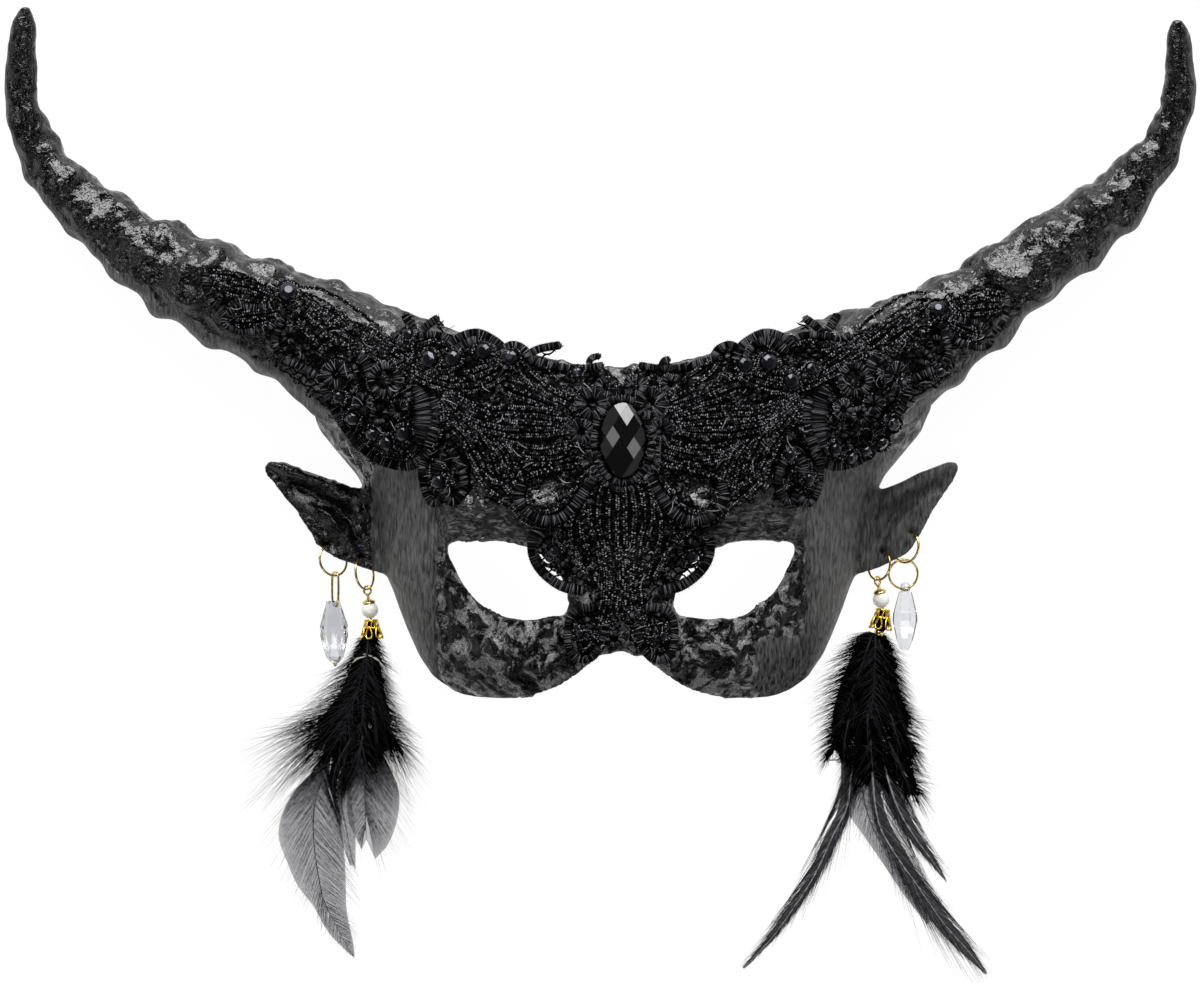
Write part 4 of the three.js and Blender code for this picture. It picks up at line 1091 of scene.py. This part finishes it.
def bell_wires(top, mouth, top_radius, mouth_radius):
    """The wires of a filigree bell: two rings and two tiers of drop-shaped loops."""
    stand = upright(top, mouth)
    height = (mouth - top).length / MM
    lines = []

    def around(share, turn):
        radius = top_radius + (mouth_radius - top_radius) * share ** 1.3
        return stand @ Vector((radius * math.cos(turn) * MM, radius * math.sin(turn) * MM,
                               share * height * MM))

    for share, wire in ((0.04, 0.36), (0.46, 0.24)):
        ring = [around(share, i * math.pi / 9) for i in range(18)]
        lines.append((np.array(ring), wire, True))
    for start, end, half, turned_by, wire in ((0.06, 0.5, 0.9, 0, 0.24), (0.42, 1.12, 1.5, 0.5, 0.3)):
        for k in range(6):
            middle = 2 * math.pi * (k + turned_by + 0.25) / 6
            loop = []
            for i in range(16):
                turn = 2 * math.pi * i / 16
                low = 0.5 - 0.5 * math.cos(turn)
                share = start + (end - start) * low
                radius = top_radius + (mouth_radius - top_radius) * share
                aside = half / radius * math.sin(turn) * (0.3 + 0.7 * low)
                loop.append(around(share, middle + aside))
            lines.append((np.array(loop), wire, True))
    return lines


class MASK_OT_bells(Operator):
    """Makes the filigree bells over the quills"""
    bl_idname = "half_mask.bells"
    bl_label = "Filigree bells"

    def execute(self, context):
        gold = gilt_brass("cast_filigree", "#dca21a", "#ffe260", 0.24)
        for side, (top, mouth) in BELLS.items():
            lines = bell_wires(face_point(*top), face_point(*mouth), *BELL_RADII)
            new_piece(f"filigree_{side}", strand_mesh(lines, 8), gold,
                      [f"filigree_bell_{side}"])
        return {"FINISHED"}


class MASK_OT_crystals(Operator):
    """Cuts the two crystal drops, bored where their rings run through"""
    bl_idname = "half_mask.crystals"
    bl_label = "Crystal drops"

    def execute(self, context):
        for side, (head, point, width) in CRYSTALS.items():
            head, point = face_point(*head), face_point(*point)
            sides, rings = CRYSTAL_RINGS[side]
            body = faceted(rings, sides, (head - point).length, width * MM)
            body.transform(upright(point, head))
            mesh = as_mesh(body)
            if side == "right":
                # The right drop has a round head on a narrow neck
                ball = turned([HEAD_FOOT] + [(HEAD_RADIUS * math.sin(a), -HEAD_RADIUS * math.cos(a))
                                             for a in HEAD_ANGLES], 16)
                ball.transform(upright(head - (head - point).normalized() * HEAD_SUNK * MM, head))
                mesh = combined(mesh, as_mesh(ball), "UNION")
            channel = merged_mesh(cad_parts[THROUGH[side]])
            channel.normal_update()
            for vert in channel.verts:
                vert.co += vert.normal * BORE_ROOM * MM
            mesh = combined(mesh, as_mesh(channel), "DIFFERENCE")
            glass = cut_glass(f"cut_glass_{side}", *CRYSTAL_TINTS[side])
            new_piece(f"crystal_{side}_drop", mesh, glass, [f"crystal_{side}"],
                      smooth=False)
        return {"FINISHED"}


# Feathers, drawn on the grid: each has its shaft, its left and right edge, the height of its shaft
# in millimetres, and how many barbs it has on each side
DOWN = {
    "left": [
        ([(366, 638), (358, 685), (338, 738), (316, 772)],
         [(353, 646), (338, 668), (316, 688), (298, 712), (272, 730), (252, 745), (247, 768),
          (256, 786), (250, 812), (280, 798), (300, 790)],
         [(372, 660), (366, 700), (362, 745), (350, 780), (338, 790)], 6.0, 330),
        ([(367, 638), (374, 685), (382, 732), (390, 762)],
         [(362, 655), (364, 690), (366, 737), (374, 775)],
         [(383, 645), (394, 672), (401, 697), (405, 718), (420, 742), (423, 752), (420, 788),
          (404, 806)], 6.0, 260),
        ([(362, 734), (356, 766), (348, 796)], [(346, 738), (320, 757), (315, 786), (332, 822)],
         [(378, 738), (404, 757), (401, 786), (370, 818)], 3.4, 190),
        ([(367, 637), (364, 685), (359, 732), (352, 764)],
         [(354, 642), (346, 668), (332, 702), (324, 737), (327, 762), (340, 778)],
         [(381, 642), (386, 668), (392, 702), (394, 737), (386, 762), (366, 778)], 7.4, 330),
        ([(352, 736), (336, 764), (331, 794), (338, 826)],
         [(342, 740), (321, 761), (321, 792), (335, 824)],
         [(360, 742), (350, 768), (343, 796), (341, 828)], 3.8, 130),
        ([(371, 706), (375, 730), (378, 754)], [(363, 710), (364, 734), (372, 758)],
         [(381, 710), (387, 732), (385, 754)], 5.4, 90)],
    "right": [
        ([(874, 634), (856, 685), (841, 728), (833, 762)],
         [(850, 640), (836, 655), (824, 676), (817, 700), (815, 730), (817, 760), (823, 777)],
         [(870, 660), (864, 700), (861, 745), (850, 775)], 6.0, 240),
        ([(879, 634), (890, 680), (901, 722), (911, 758)],
         [(876, 660), (879, 700), (885, 745), (899, 775)],
         [(894, 640), (910, 670), (913, 697), (931, 736), (928, 757), (930, 777), (916, 803)],
         6.0, 240),
        ([(872, 738), (874, 768), (882, 800)], [(860, 745), (846, 768), (842, 796), (852, 816)],
         [(888, 745), (908, 768), (918, 800), (912, 828)], 4.2, 130),
        ([(890, 742), (904, 772), (916, 802)], [(884, 756), (894, 788), (908, 822)],
         [(900, 742), (926, 768), (938, 802), (930, 828)], 3.2, 110),
        ([(877, 634), (875, 690), (870, 750)],
         [(864, 640), (848, 675), (838, 705), (836, 745), (850, 775)],
         [(889, 640), (905, 675), (912, 710), (910, 745), (890, 775)], 7.4, 420),
        ([(869, 714), (869, 738), (872, 764)], [(860, 716), (857, 738), (865, 766)],
         [(878, 716), (881, 738), (877, 766)], 5.6, 90),
        ([(850, 720), (846, 742), (845, 764)], [(838, 722), (833, 744), (838, 768)],
         [(860, 722), (859, 744), (852, 766)], 4.8, 100),
        ([(891, 712), (898, 736), (907, 764)], [(882, 716), (886, 742), (899, 768)],
         [(902, 716), (912, 738), (918, 764)], 4.8, 100)],
}
GREY_VANES = {
    "left": [
        ([(330, 752), (324, 771), (316, 795), (312, 815), (312, 842), (316, 873), (322, 902),
          (334, 927), (351, 959)],
         [(317, 772), (304, 783), (290, 796), (278, 820), (276, 842), (285, 866), (295, 888),
          (312, 910), (327, 936), (349, 958)],
         [(326, 786), (334, 810), (341, 834), (344, 859), (345, 883), (346, 914), (352, 946),
          (353, 961)], 2.0, 300),
        ([(356, 740), (360, 757), (363, 786), (365, 842)],
         [(344, 750), (345, 775), (345, 800), (346, 822), (352, 836), (360, 852)],
         [(378, 748), (392, 775), (399, 796), (397, 822), (388, 846), (374, 862)], 3.0, 210),
        ([(348, 760), (340, 800), (345, 832), (352, 868)],
         [(340, 770), (332, 800), (336, 830), (348, 868)],
         [(352, 770), (350, 800), (354, 832), (354, 872)], 1.4, 70)],
    "right": [
        ([(862, 745), (867, 808), (888, 856), (912, 895), (931, 925)],
         [(842, 752), (842, 780), (846, 808), (854, 823), (870, 845), (888, 871), (906, 898),
          (929, 927)],
         [(872, 745), (877, 808), (889, 836), (902, 862), (919, 889), (934, 924)], 2.4, 230)],
}
BLACK_VANES = {
    "left": [
        ([(322, 772), (331, 802), (339, 826)], [(320, 780), (328, 804), (338, 826)],
         [(327, 780), (336, 806), (341, 827)], 2.8, 40)],
    "right": [
        ([(858, 752), (852, 781), (849, 808), (834, 838), (816, 877), (795, 910), (771, 943),
          (744, 971)],
         [(846, 765), (841, 784), (831, 820), (816, 850), (807, 877), (786, 907), (765, 940),
          (743, 970)],
         [(862, 770), (858, 796), (853, 822), (841, 848), (823, 881), (802, 911), (778, 940),
          (745, 972)], 2.0, 190),
        ([(872, 750), (879, 820), (897, 856), (918, 886), (945, 925), (969, 952), (989, 977)],
         [(869, 765), (873, 820), (888, 860), (907, 896), (931, 929), (957, 956), (988, 978)],
         [(880, 765), (892, 814), (913, 850), (928, 880), (952, 916), (973, 943), (990, 976)],
         3.0, 200),
        ([(884, 755), (888, 775), (900, 811), (918, 841), (936, 865), (948, 884)],
         [(878, 765), (882, 784), (891, 820), (912, 847), (930, 866), (947, 883)],
         [(892, 762), (898, 776), (913, 808), (927, 838), (941, 862), (949, 884)], 3.4, 120),
        ([(890, 750), (905, 772), (918, 795)], [(888, 762), (900, 785), (916, 800)],
         [(896, 752), (916, 764), (926, 778)], 3.0, 34)],
}
# Which of the black vanes have a closed sheet
SHEETED = slice(3)
# The undyed barbs across the left tuft: their band on the grid, its height in millimetres, how many
# there are, and how long each is in steps of the band
PALE_BAND = [(351, 663), (358, 658.5), (366, 656), (373, 658), (380, 664), (388, 674)]
PALE_HEIGHT, PALE_COUNT, PALE_STEPS = 7.9, 22, (4, 8)
# The bundled quills from the bell's top down, as radius and height in millimetres
QUILL_OUTLINE = [(0.01, 0.7), (1.3, 0.7), (2.6, 4.4), (2.3, 6.2), (1.4, 7.4), (1.2, 10), (0.01, 10)]
# The points along a barb and along a sheet, how far a sheet lies below its shaft's height at its
# edges and under its shaft, as shares, and the lowest that it lies
BARB_POINTS, SHEET_ROWS = 6, 48
EDGE_DROP, SHAFT_DROP = 0.6, 0.12
SHEET_FLOOR = 0.4 * MM


def thinned(feathers, lift, part):
    """The same feathers, lifted by some millimetres and with a part of their barbs."""
    return [(shaft, left, right, level + lift, count // part)
            for shaft, left, right, level, count in feathers]


def grid_path(points, count):
    """Grid points as evenly spaced places in the frame."""
    flat = [face_point(-out, up).xy for out, up in (grid_place(*point) for point in points)]
    path = even_path(flat, 0.5 * MM)
    at = np.linspace(0, len(path) - 1, count)
    return np.stack([np.interp(at, np.arange(len(path)), path[:, k]) for k in (0, 1)], axis=1)


def shaft_heights(level, count):
    """The heights of a shaft: low where it leaves its bell, high after that, low at its tip."""
    fall = np.linspace(0, 1, count)
    return (level + (1.0 - level) * fall ** 1.4) * (0.5 + 0.5 * smooth_step(fall, 0, 0.14)) * MM


def barbs(feather, rng, width, fluff, sweep):
    """The shaft and the barbs of one feather, as flat ribbons that sink towards the table. The
    sweep is how far a barb runs along the shaft for each millimetre it runs out. Fluffy barbs grow
    in layers of many lengths, gather into locks and curl."""
    shaft, left, right, level, count = feather
    quill = grid_path(shaft, count)
    ahead = np.gradient(quill, axis=0)
    pace = np.linalg.norm(ahead, axis=1)[:, None]
    ahead /= pace
    heights = shaft_heights(level, count)
    spine = np.column_stack([quill, heights + 0.2 * MM])[:: max(count // 30, 1)]
    lines = [(spine, np.linspace(0.3, 0.08, len(spine)), False)]
    steps = np.linspace(0, 1, BARB_POINTS)[:, None]
    for edge in (left, right):
        rim = grid_path(edge, count)
        near = np.argmin(np.linalg.norm(rim[:, None, :] - quill[None, :, :], axis=2), axis=1)
        for turn in range(count * (3 if fluff > 0.5 else 2)):
            k, layer = turn % count, turn // count
            lock = round(k / 11 + 0.3 * math.sin(k)) * 11
            k = min(max(int(k + (lock - k) * 0.7 * fluff), 0), count - 1)
            away = np.linalg.norm(rim[k] - quill[near[k]])
            root = near[k] - sweep * away / pace.mean() * rng.uniform(0.75, 1.2)
            root = min(max(int(root + fluff * rng.uniform(-8, 8)), 0), count - 1)
            start = quill[root]
            if fluff > 0.5:
                short = rng.uniform(0.1, 0.85) if layer else rng.uniform(-0.25, 0.3)
            else:
                short = -rng.uniform(0.05, 0.5) if rng.random() < 0.2 else rng.uniform(0, 0.1)
            end = rim[k] + (start - rim[k]) * short
            end = end + np.array([rng.gauss(0, 1), rng.gauss(0, 1)]) * (0.08 + 0.5 * fluff) * MM
            reach = np.linalg.norm(end - start)
            if reach < 0.3 * MM:
                continue
            knee = (start + end) / 2 - ahead[root] * reach * rng.uniform(0.03, 0.08 + 0.15 * fluff)
            flat = (1 - steps) ** 2 * start + 2 * steps * (1 - steps) * knee + steps ** 2 * end
            curl = np.array([start[1] - end[1], end[0] - start[0]]) * rng.gauss(0, 0.08 * fluff)
            flat = flat + curl * steps ** 3
            low = min(rng.uniform(0.3, 1.2) * MM + heights[root] * fluff * rng.uniform(0, 0.75),
                      heights[root])
            sunk = heights[root] + (low - heights[root]) * steps[:, 0] ** 1.6
            taper = 1 - 0.94 * steps[:, 0] if fluff > 0.5 else 1 - 0.6 * steps[:, 0] ** 3
            taper *= width * (1.3 if layer else 0.7)
            lines.append((np.column_stack([flat, sunk]), taper, False))
    return lines


def vane_sheets(feathers, share):
    """Sheets from the shafts out to a share of the width, that run out towards the tips where they
    do not reach the edges."""
    work, rows = bmesh.new(), SHEET_ROWS
    for shaft, left, right, level, _ in feathers:
        quill, heights = grid_path(shaft, rows), shaft_heights(level, rows)
        parts = share * (1 - smooth_step(np.linspace(0, 1, rows), 1.4 * share, 1.0) * (share < 0.5))
        rims = [grid_path(left, rows), grid_path(right, rows)]
        last = None
        for k in range(rows):
            spots = [quill[k] + (rims[0][k] - quill[k]) * parts[k], quill[k],
                     quill[k] + (rims[1][k] - quill[k]) * parts[k]]
            verts = [work.verts.new((*spot, max(heights[k] * (1 - drop), SHEET_FLOOR)))
                     for spot, drop in zip(spots, (EDGE_DROP, SHAFT_DROP, EDGE_DROP))]
            if last:
                for i in (0, 1):
                    work.faces.new((last[i], last[i + 1], verts[i + 1], verts[i]))
            last = verts
    return work


class MASK_OT_feathers(Operator):
    """Makes the feathers: down, vanes and hackles, barb by barb"""
    bl_idname = "half_mask.feathers"
    bl_label = "Feathers"

    def execute(self, context):
        settings = context.scene.half_mask_feathers
        width = settings.barb_width / MM / 2
        rng = random.Random(29)
        black = feather_keratin("black_barbs", "#000000", "#050505")
        # Painted highlights: a lit copy of the black barbs, laid over the down as its sheen
        sheen = feather_keratin("black_barbs_in_light", "#040405", "#242427", 0.1)
        glossy = feather_keratin("hackle_barbs", "#010101", "#38383c", 0.2)
        hackle = feather_keratin("hackle_vane", "#020202", "#151517", 0.1, 0.94)
        grey = feather_keratin("thin_barbs", "#080809", "#5a5a60", shaded=True)
        thin = feather_keratin("thin_vane", "#1a1a1c", settings.vane, cover=0.62, shaded=True)
        # Painted highlights: light copies of the vanes' and the hackles' barbs
        lit_barbs = feather_keratin("barbs_in_light", "#2c2c2e", "#98989c", 0.2)
        for side, thickness, core in (("left", 0.78, 0.32), ("right", 1.08, 0.4)):
            down, vanes, hackles = DOWN[side], GREY_VANES[side], BLACK_VANES[side]
            for name, feathers, material, share, fluff, sweep in (
                    ("down", down, black, thickness, 1.0, 0.9),
                    ("vanes", vanes, grey, 0.2, 0.0, 1.6),
                    ("hackles", hackles, glossy, 0.34, 0.05, 7.0),
                    ("vane_highlights", thinned(vanes, -0.1, 6), lit_barbs, 0.17, 0.0, 1.6),
                    ("hackle_highlights", thinned(hackles, 0.1, 9), lit_barbs, 0.2, 0.05, 4.0),
                    ("sheen", thinned(down, 1.1, 9), sheen, 0.6, 1.0, 1.1)):
                lines = [line for feather in feathers
                         for line in barbs(feather, rng, width * share, fluff, sweep)]
                new_piece(f"feathers_{side}_{name}", strand_mesh(lines, ribbon=True), material,
                          [f"feather_cluster_{side}"] if name == "down" else ())
            for name, feathers, share, material in (
                    ("down_core", down, core, black),
                    ("hackle_sheets", hackles[SHEETED], 0.62, hackle),
                    ("vane_sheets", vanes, 0.97, thin)):
                new_piece(f"feathers_{side}_{name}", vane_sheets(feathers, share), material)
        pale = feather_keratin("undyed_barbs", "#c8c4bc", "#efede8")
        band = []
        for _ in range(PALE_COUNT):
            flat = grid_path(PALE_BAND, 40)
            first = rng.randrange(0, 33)
            flat = flat[first:first + rng.randrange(*PALE_STEPS)] + np.array(
                [rng.gauss(0, 0.1), rng.gauss(0, 0.22)]) * MM
            raised = np.column_stack([flat, np.full(len(flat), PALE_HEIGHT * MM)])
            band.append((raised, 0.06, False))
        new_piece("feathers_left_pale", strand_mesh(band, ribbon=True), pale)
        for side, (top, mouth) in BELLS.items():
            quills = turned(QUILL_OUTLINE, 16)
            quills.transform(upright(face_point(*top), face_point(*mouth)))
            new_piece(f"quills_{side}", quills, black)
        return {"FINISHED"}


# Stage

# Softboxes, and pale walls round the table: azimuth, elevation, size in metres and radiance
LIGHTS = {
    "key_softbox": (90, 31, (1.6, 1.2), 11.0), "top_softbox": (90, 66, (1.2, 0.3), 1.5),
    "near_softbox": (-90, 60, (1.0, 0.4), 4.0), "left_softbox": (173, 36, (0.6, 0.4), 3.0),
    "right_softbox": (-13, 33, (0.6, 0.4), 3.0), "left_wall": (180, 13, (3.4, 0.9), 0.3),
    "right_wall": (0, 13, (3.4, 0.9), 0.3), "far_wall": (90, 12, (3.4, 0.8), 1.4),
    "near_wall": (-90, 13, (3.4, 0.9), 0.3)}
LIGHT_DISTANCE = 1.7
FLOOR_REACH = 3.0
# The floor lies just under the mask, so that the two do not share a plane
FLOOR_GAP = 0.3 * MM
# The photograph's width on the grid, and how high over the table the grid holds
GRID_WIDTH = 1200
GRID_LEVEL = 25 * MM


class MASK_OT_stage(Operator):
    """Sets the floor, the lights and the camera"""
    bl_idname = "half_mask.stage"
    bl_label = "Stage"

    def execute(self, context):
        scene = context.scene
        settings = scene.half_mask_stage

        def shown(name, data):
            obj = bpy.data.objects.new(name, data)
            scene.collection.objects.link(obj)
            return obj

        work = bmesh.new()
        bmesh.ops.create_grid(work, x_segments=1, y_segments=1, size=FLOOR_REACH)
        work.transform(Matrix.Translation((0, 0, -FLOOR_GAP)))
        floor = shown("floor", as_mesh(work))
        material, node, _ = new_material("paper_floor")
        node("OutputMaterial", {"Surface": node("BsdfPrincipled", {
            "Base Color": settings.floor, "Roughness": 0.9, "Specular IOR Level": 0.1,
            "Emission Color": (1, 1, 1, 1), "Emission Strength": settings.floor_glow})})
        floor.data.materials.append(material)

        for name, (around, up, size, radiance) in LIGHTS.items():
            around, up = math.radians(around), math.radians(up)
            light = bpy.data.lights.new(name, "AREA")
            light.shape = "RECTANGLE"
            light.size, light.size_y = size
            light.energy = radiance * math.pi * size[0] * size[1] * settings.light
            lamp = shown(name, light)
            lamp.location = LIGHT_DISTANCE * Vector((
                math.cos(around) * math.cos(up), math.sin(around) * math.cos(up), math.sin(up)))
            lamp.rotation_euler = (-lamp.location).to_track_quat("-Z", "Y").to_euler()
        scene.world = bpy.data.worlds.new("studio")
        scene.world.use_nodes = True
        sky = scene.world.node_tree.nodes["Background"].inputs
        sky["Color"].default_value = linear("#f2f4f6")
        sky["Strength"].default_value = settings.surround
        scene.view_settings.view_transform = "Standard"

        camera = bpy.data.cameras.new("camera")
        camera.clip_end = 20
        camera.sensor_width = 36
        share = (settings.distance - GRID_LEVEL) / (GRID_WIDTH * GRID_STEP * MM)
        camera.lens = camera.sensor_width * share
        scene.camera = shown("camera", camera)
        middle = face_point((GRID_WIDTH / 2 - GRID_MIDDLE[0]) * GRID_STEP, 0)
        scene.camera.location = (middle.x, middle.y, settings.distance)
        return {"FINISHED"}


# Settings, panel and registration

class MouldingSettings(PropertyGroup):
    """Sizes of the moulding"""
    voxel: FloatProperty(
        name="Mesh size", description="Size of the moulding's mesh cells",
        default=0.88 * MM, min=0.5 * MM, max=4 * MM, unit="LENGTH")
    triangles: IntProperty(
        name="Triangles", description="How many triangles the moulding keeps",
        default=188000, min=20000, max=199000)
    crumple: FloatProperty(
        name="Crumple depth", description="How deep the crumpled skin's facets are",
        default=1.0 * MM, min=0.0, max=3 * MM, unit="LENGTH")


class LaceSettings(PropertyGroup):
    """Sizes and colour of the lace"""
    cord_width: FloatProperty(
        name="Cord width", description="Width of a ridged cord",
        default=1.5 * MM, min=0.5 * MM, max=4 * MM, unit="LENGTH")
    strays: IntProperty(
        name="Stray threads", description="How many fine threads cross the lace",
        default=260, min=0, max=2000)
    # The colour of the painted highlights on the cords' stitches
    thread: FloatVectorProperty(
        name="Thread", description="Colour of a cord's thread where it catches the light",
        default=linear("#9c9ca0"), min=0.0, max=1.0, size=4, subtype="COLOR")


class FeatherSettings(PropertyGroup):
    """Sizes and colour of the feathers"""
    barb_width: FloatProperty(
        name="Barb width", description="Width of a barb with its fringe, at its root",
        default=0.28 * MM, min=0.05 * MM, max=2 * MM, unit="LENGTH")
    vane: FloatVectorProperty(
        name="Grey vanes", description="Colour of the thin grey vanes where they are lightest",
        default=linear("#8a8a90"), min=0.0, max=1.0, size=4, subtype="COLOR")


class StageSettings(PropertyGroup):
    """The floor, the lights and the camera"""
    floor: FloatVectorProperty(
        name="Floor", description="Colour of the paper under the mask",
        default=linear("#404040"), min=0.0, max=1.0, size=4, subtype="COLOR")
    floor_glow: FloatProperty(
        name="Floor glow", description="Light the floor gives by itself, which thins the shadows",
        default=0.97, min=0.0, max=2.0)
    light: FloatProperty(
        name="Light", description="Strength of the softboxes", default=1.0, min=0.0, max=10.0)
    surround: FloatProperty(
        name="Surround", description="Strength of the dim surround", default=0.1, min=0.0, max=5.0)
    distance: FloatProperty(
        name="Camera distance", description="Height of the camera over the table",
        default=4.0, min=0.5, max=10.0, unit="LENGTH")


STEPS = [MASK_OT_moulding, MASK_OT_lace, MASK_OT_stones, MASK_OT_wires, MASK_OT_pearls,
         MASK_OT_bells, MASK_OT_crystals, MASK_OT_feathers, MASK_OT_stage]


class MASK_PT_panel(Panel):
    """Lists the settings and steps of the half mask"""
    bl_label = "Half Mask"
    bl_idname = "MASK_PT_panel"
    bl_space_type = "VIEW_3D"
    bl_region_type = "UI"
    bl_category = "Half Mask"

    def draw(self, context):
        for name, group in GROUPS.items():
            for setting in group.__annotations__:
                self.layout.prop(getattr(context.scene, name), setting)
        for step in STEPS:
            self.layout.operator(step.bl_idname)


GROUPS = {"half_mask_moulding": MouldingSettings, "half_mask_lace": LaceSettings,
          "half_mask_feathers": FeatherSettings, "half_mask_stage": StageSettings}


def register():
    """Registers the settings, operators and panel."""
    for group in GROUPS.values():
        bpy.utils.register_class(group)
    for name, group in GROUPS.items():
        setattr(bpy.types.Scene, name, PointerProperty(type=group))
    for step in STEPS + [MASK_PT_panel]:
        bpy.utils.register_class(step)


def unregister():
    """Takes the settings, operators and panel away again."""
    for step in reversed(STEPS + [MASK_PT_panel]):
        bpy.utils.unregister_class(step)
    for name, group in reversed(GROUPS.items()):
        delattr(bpy.types.Scene, name)
        bpy.utils.unregister_class(group)


def main():
    """Makes every piece and the stage."""
    register()
    for step in STEPS:
        family, name = step.bl_idname.split(".")
        getattr(getattr(bpy.ops, family), name)()


if __name__ == "__main__":
    main()
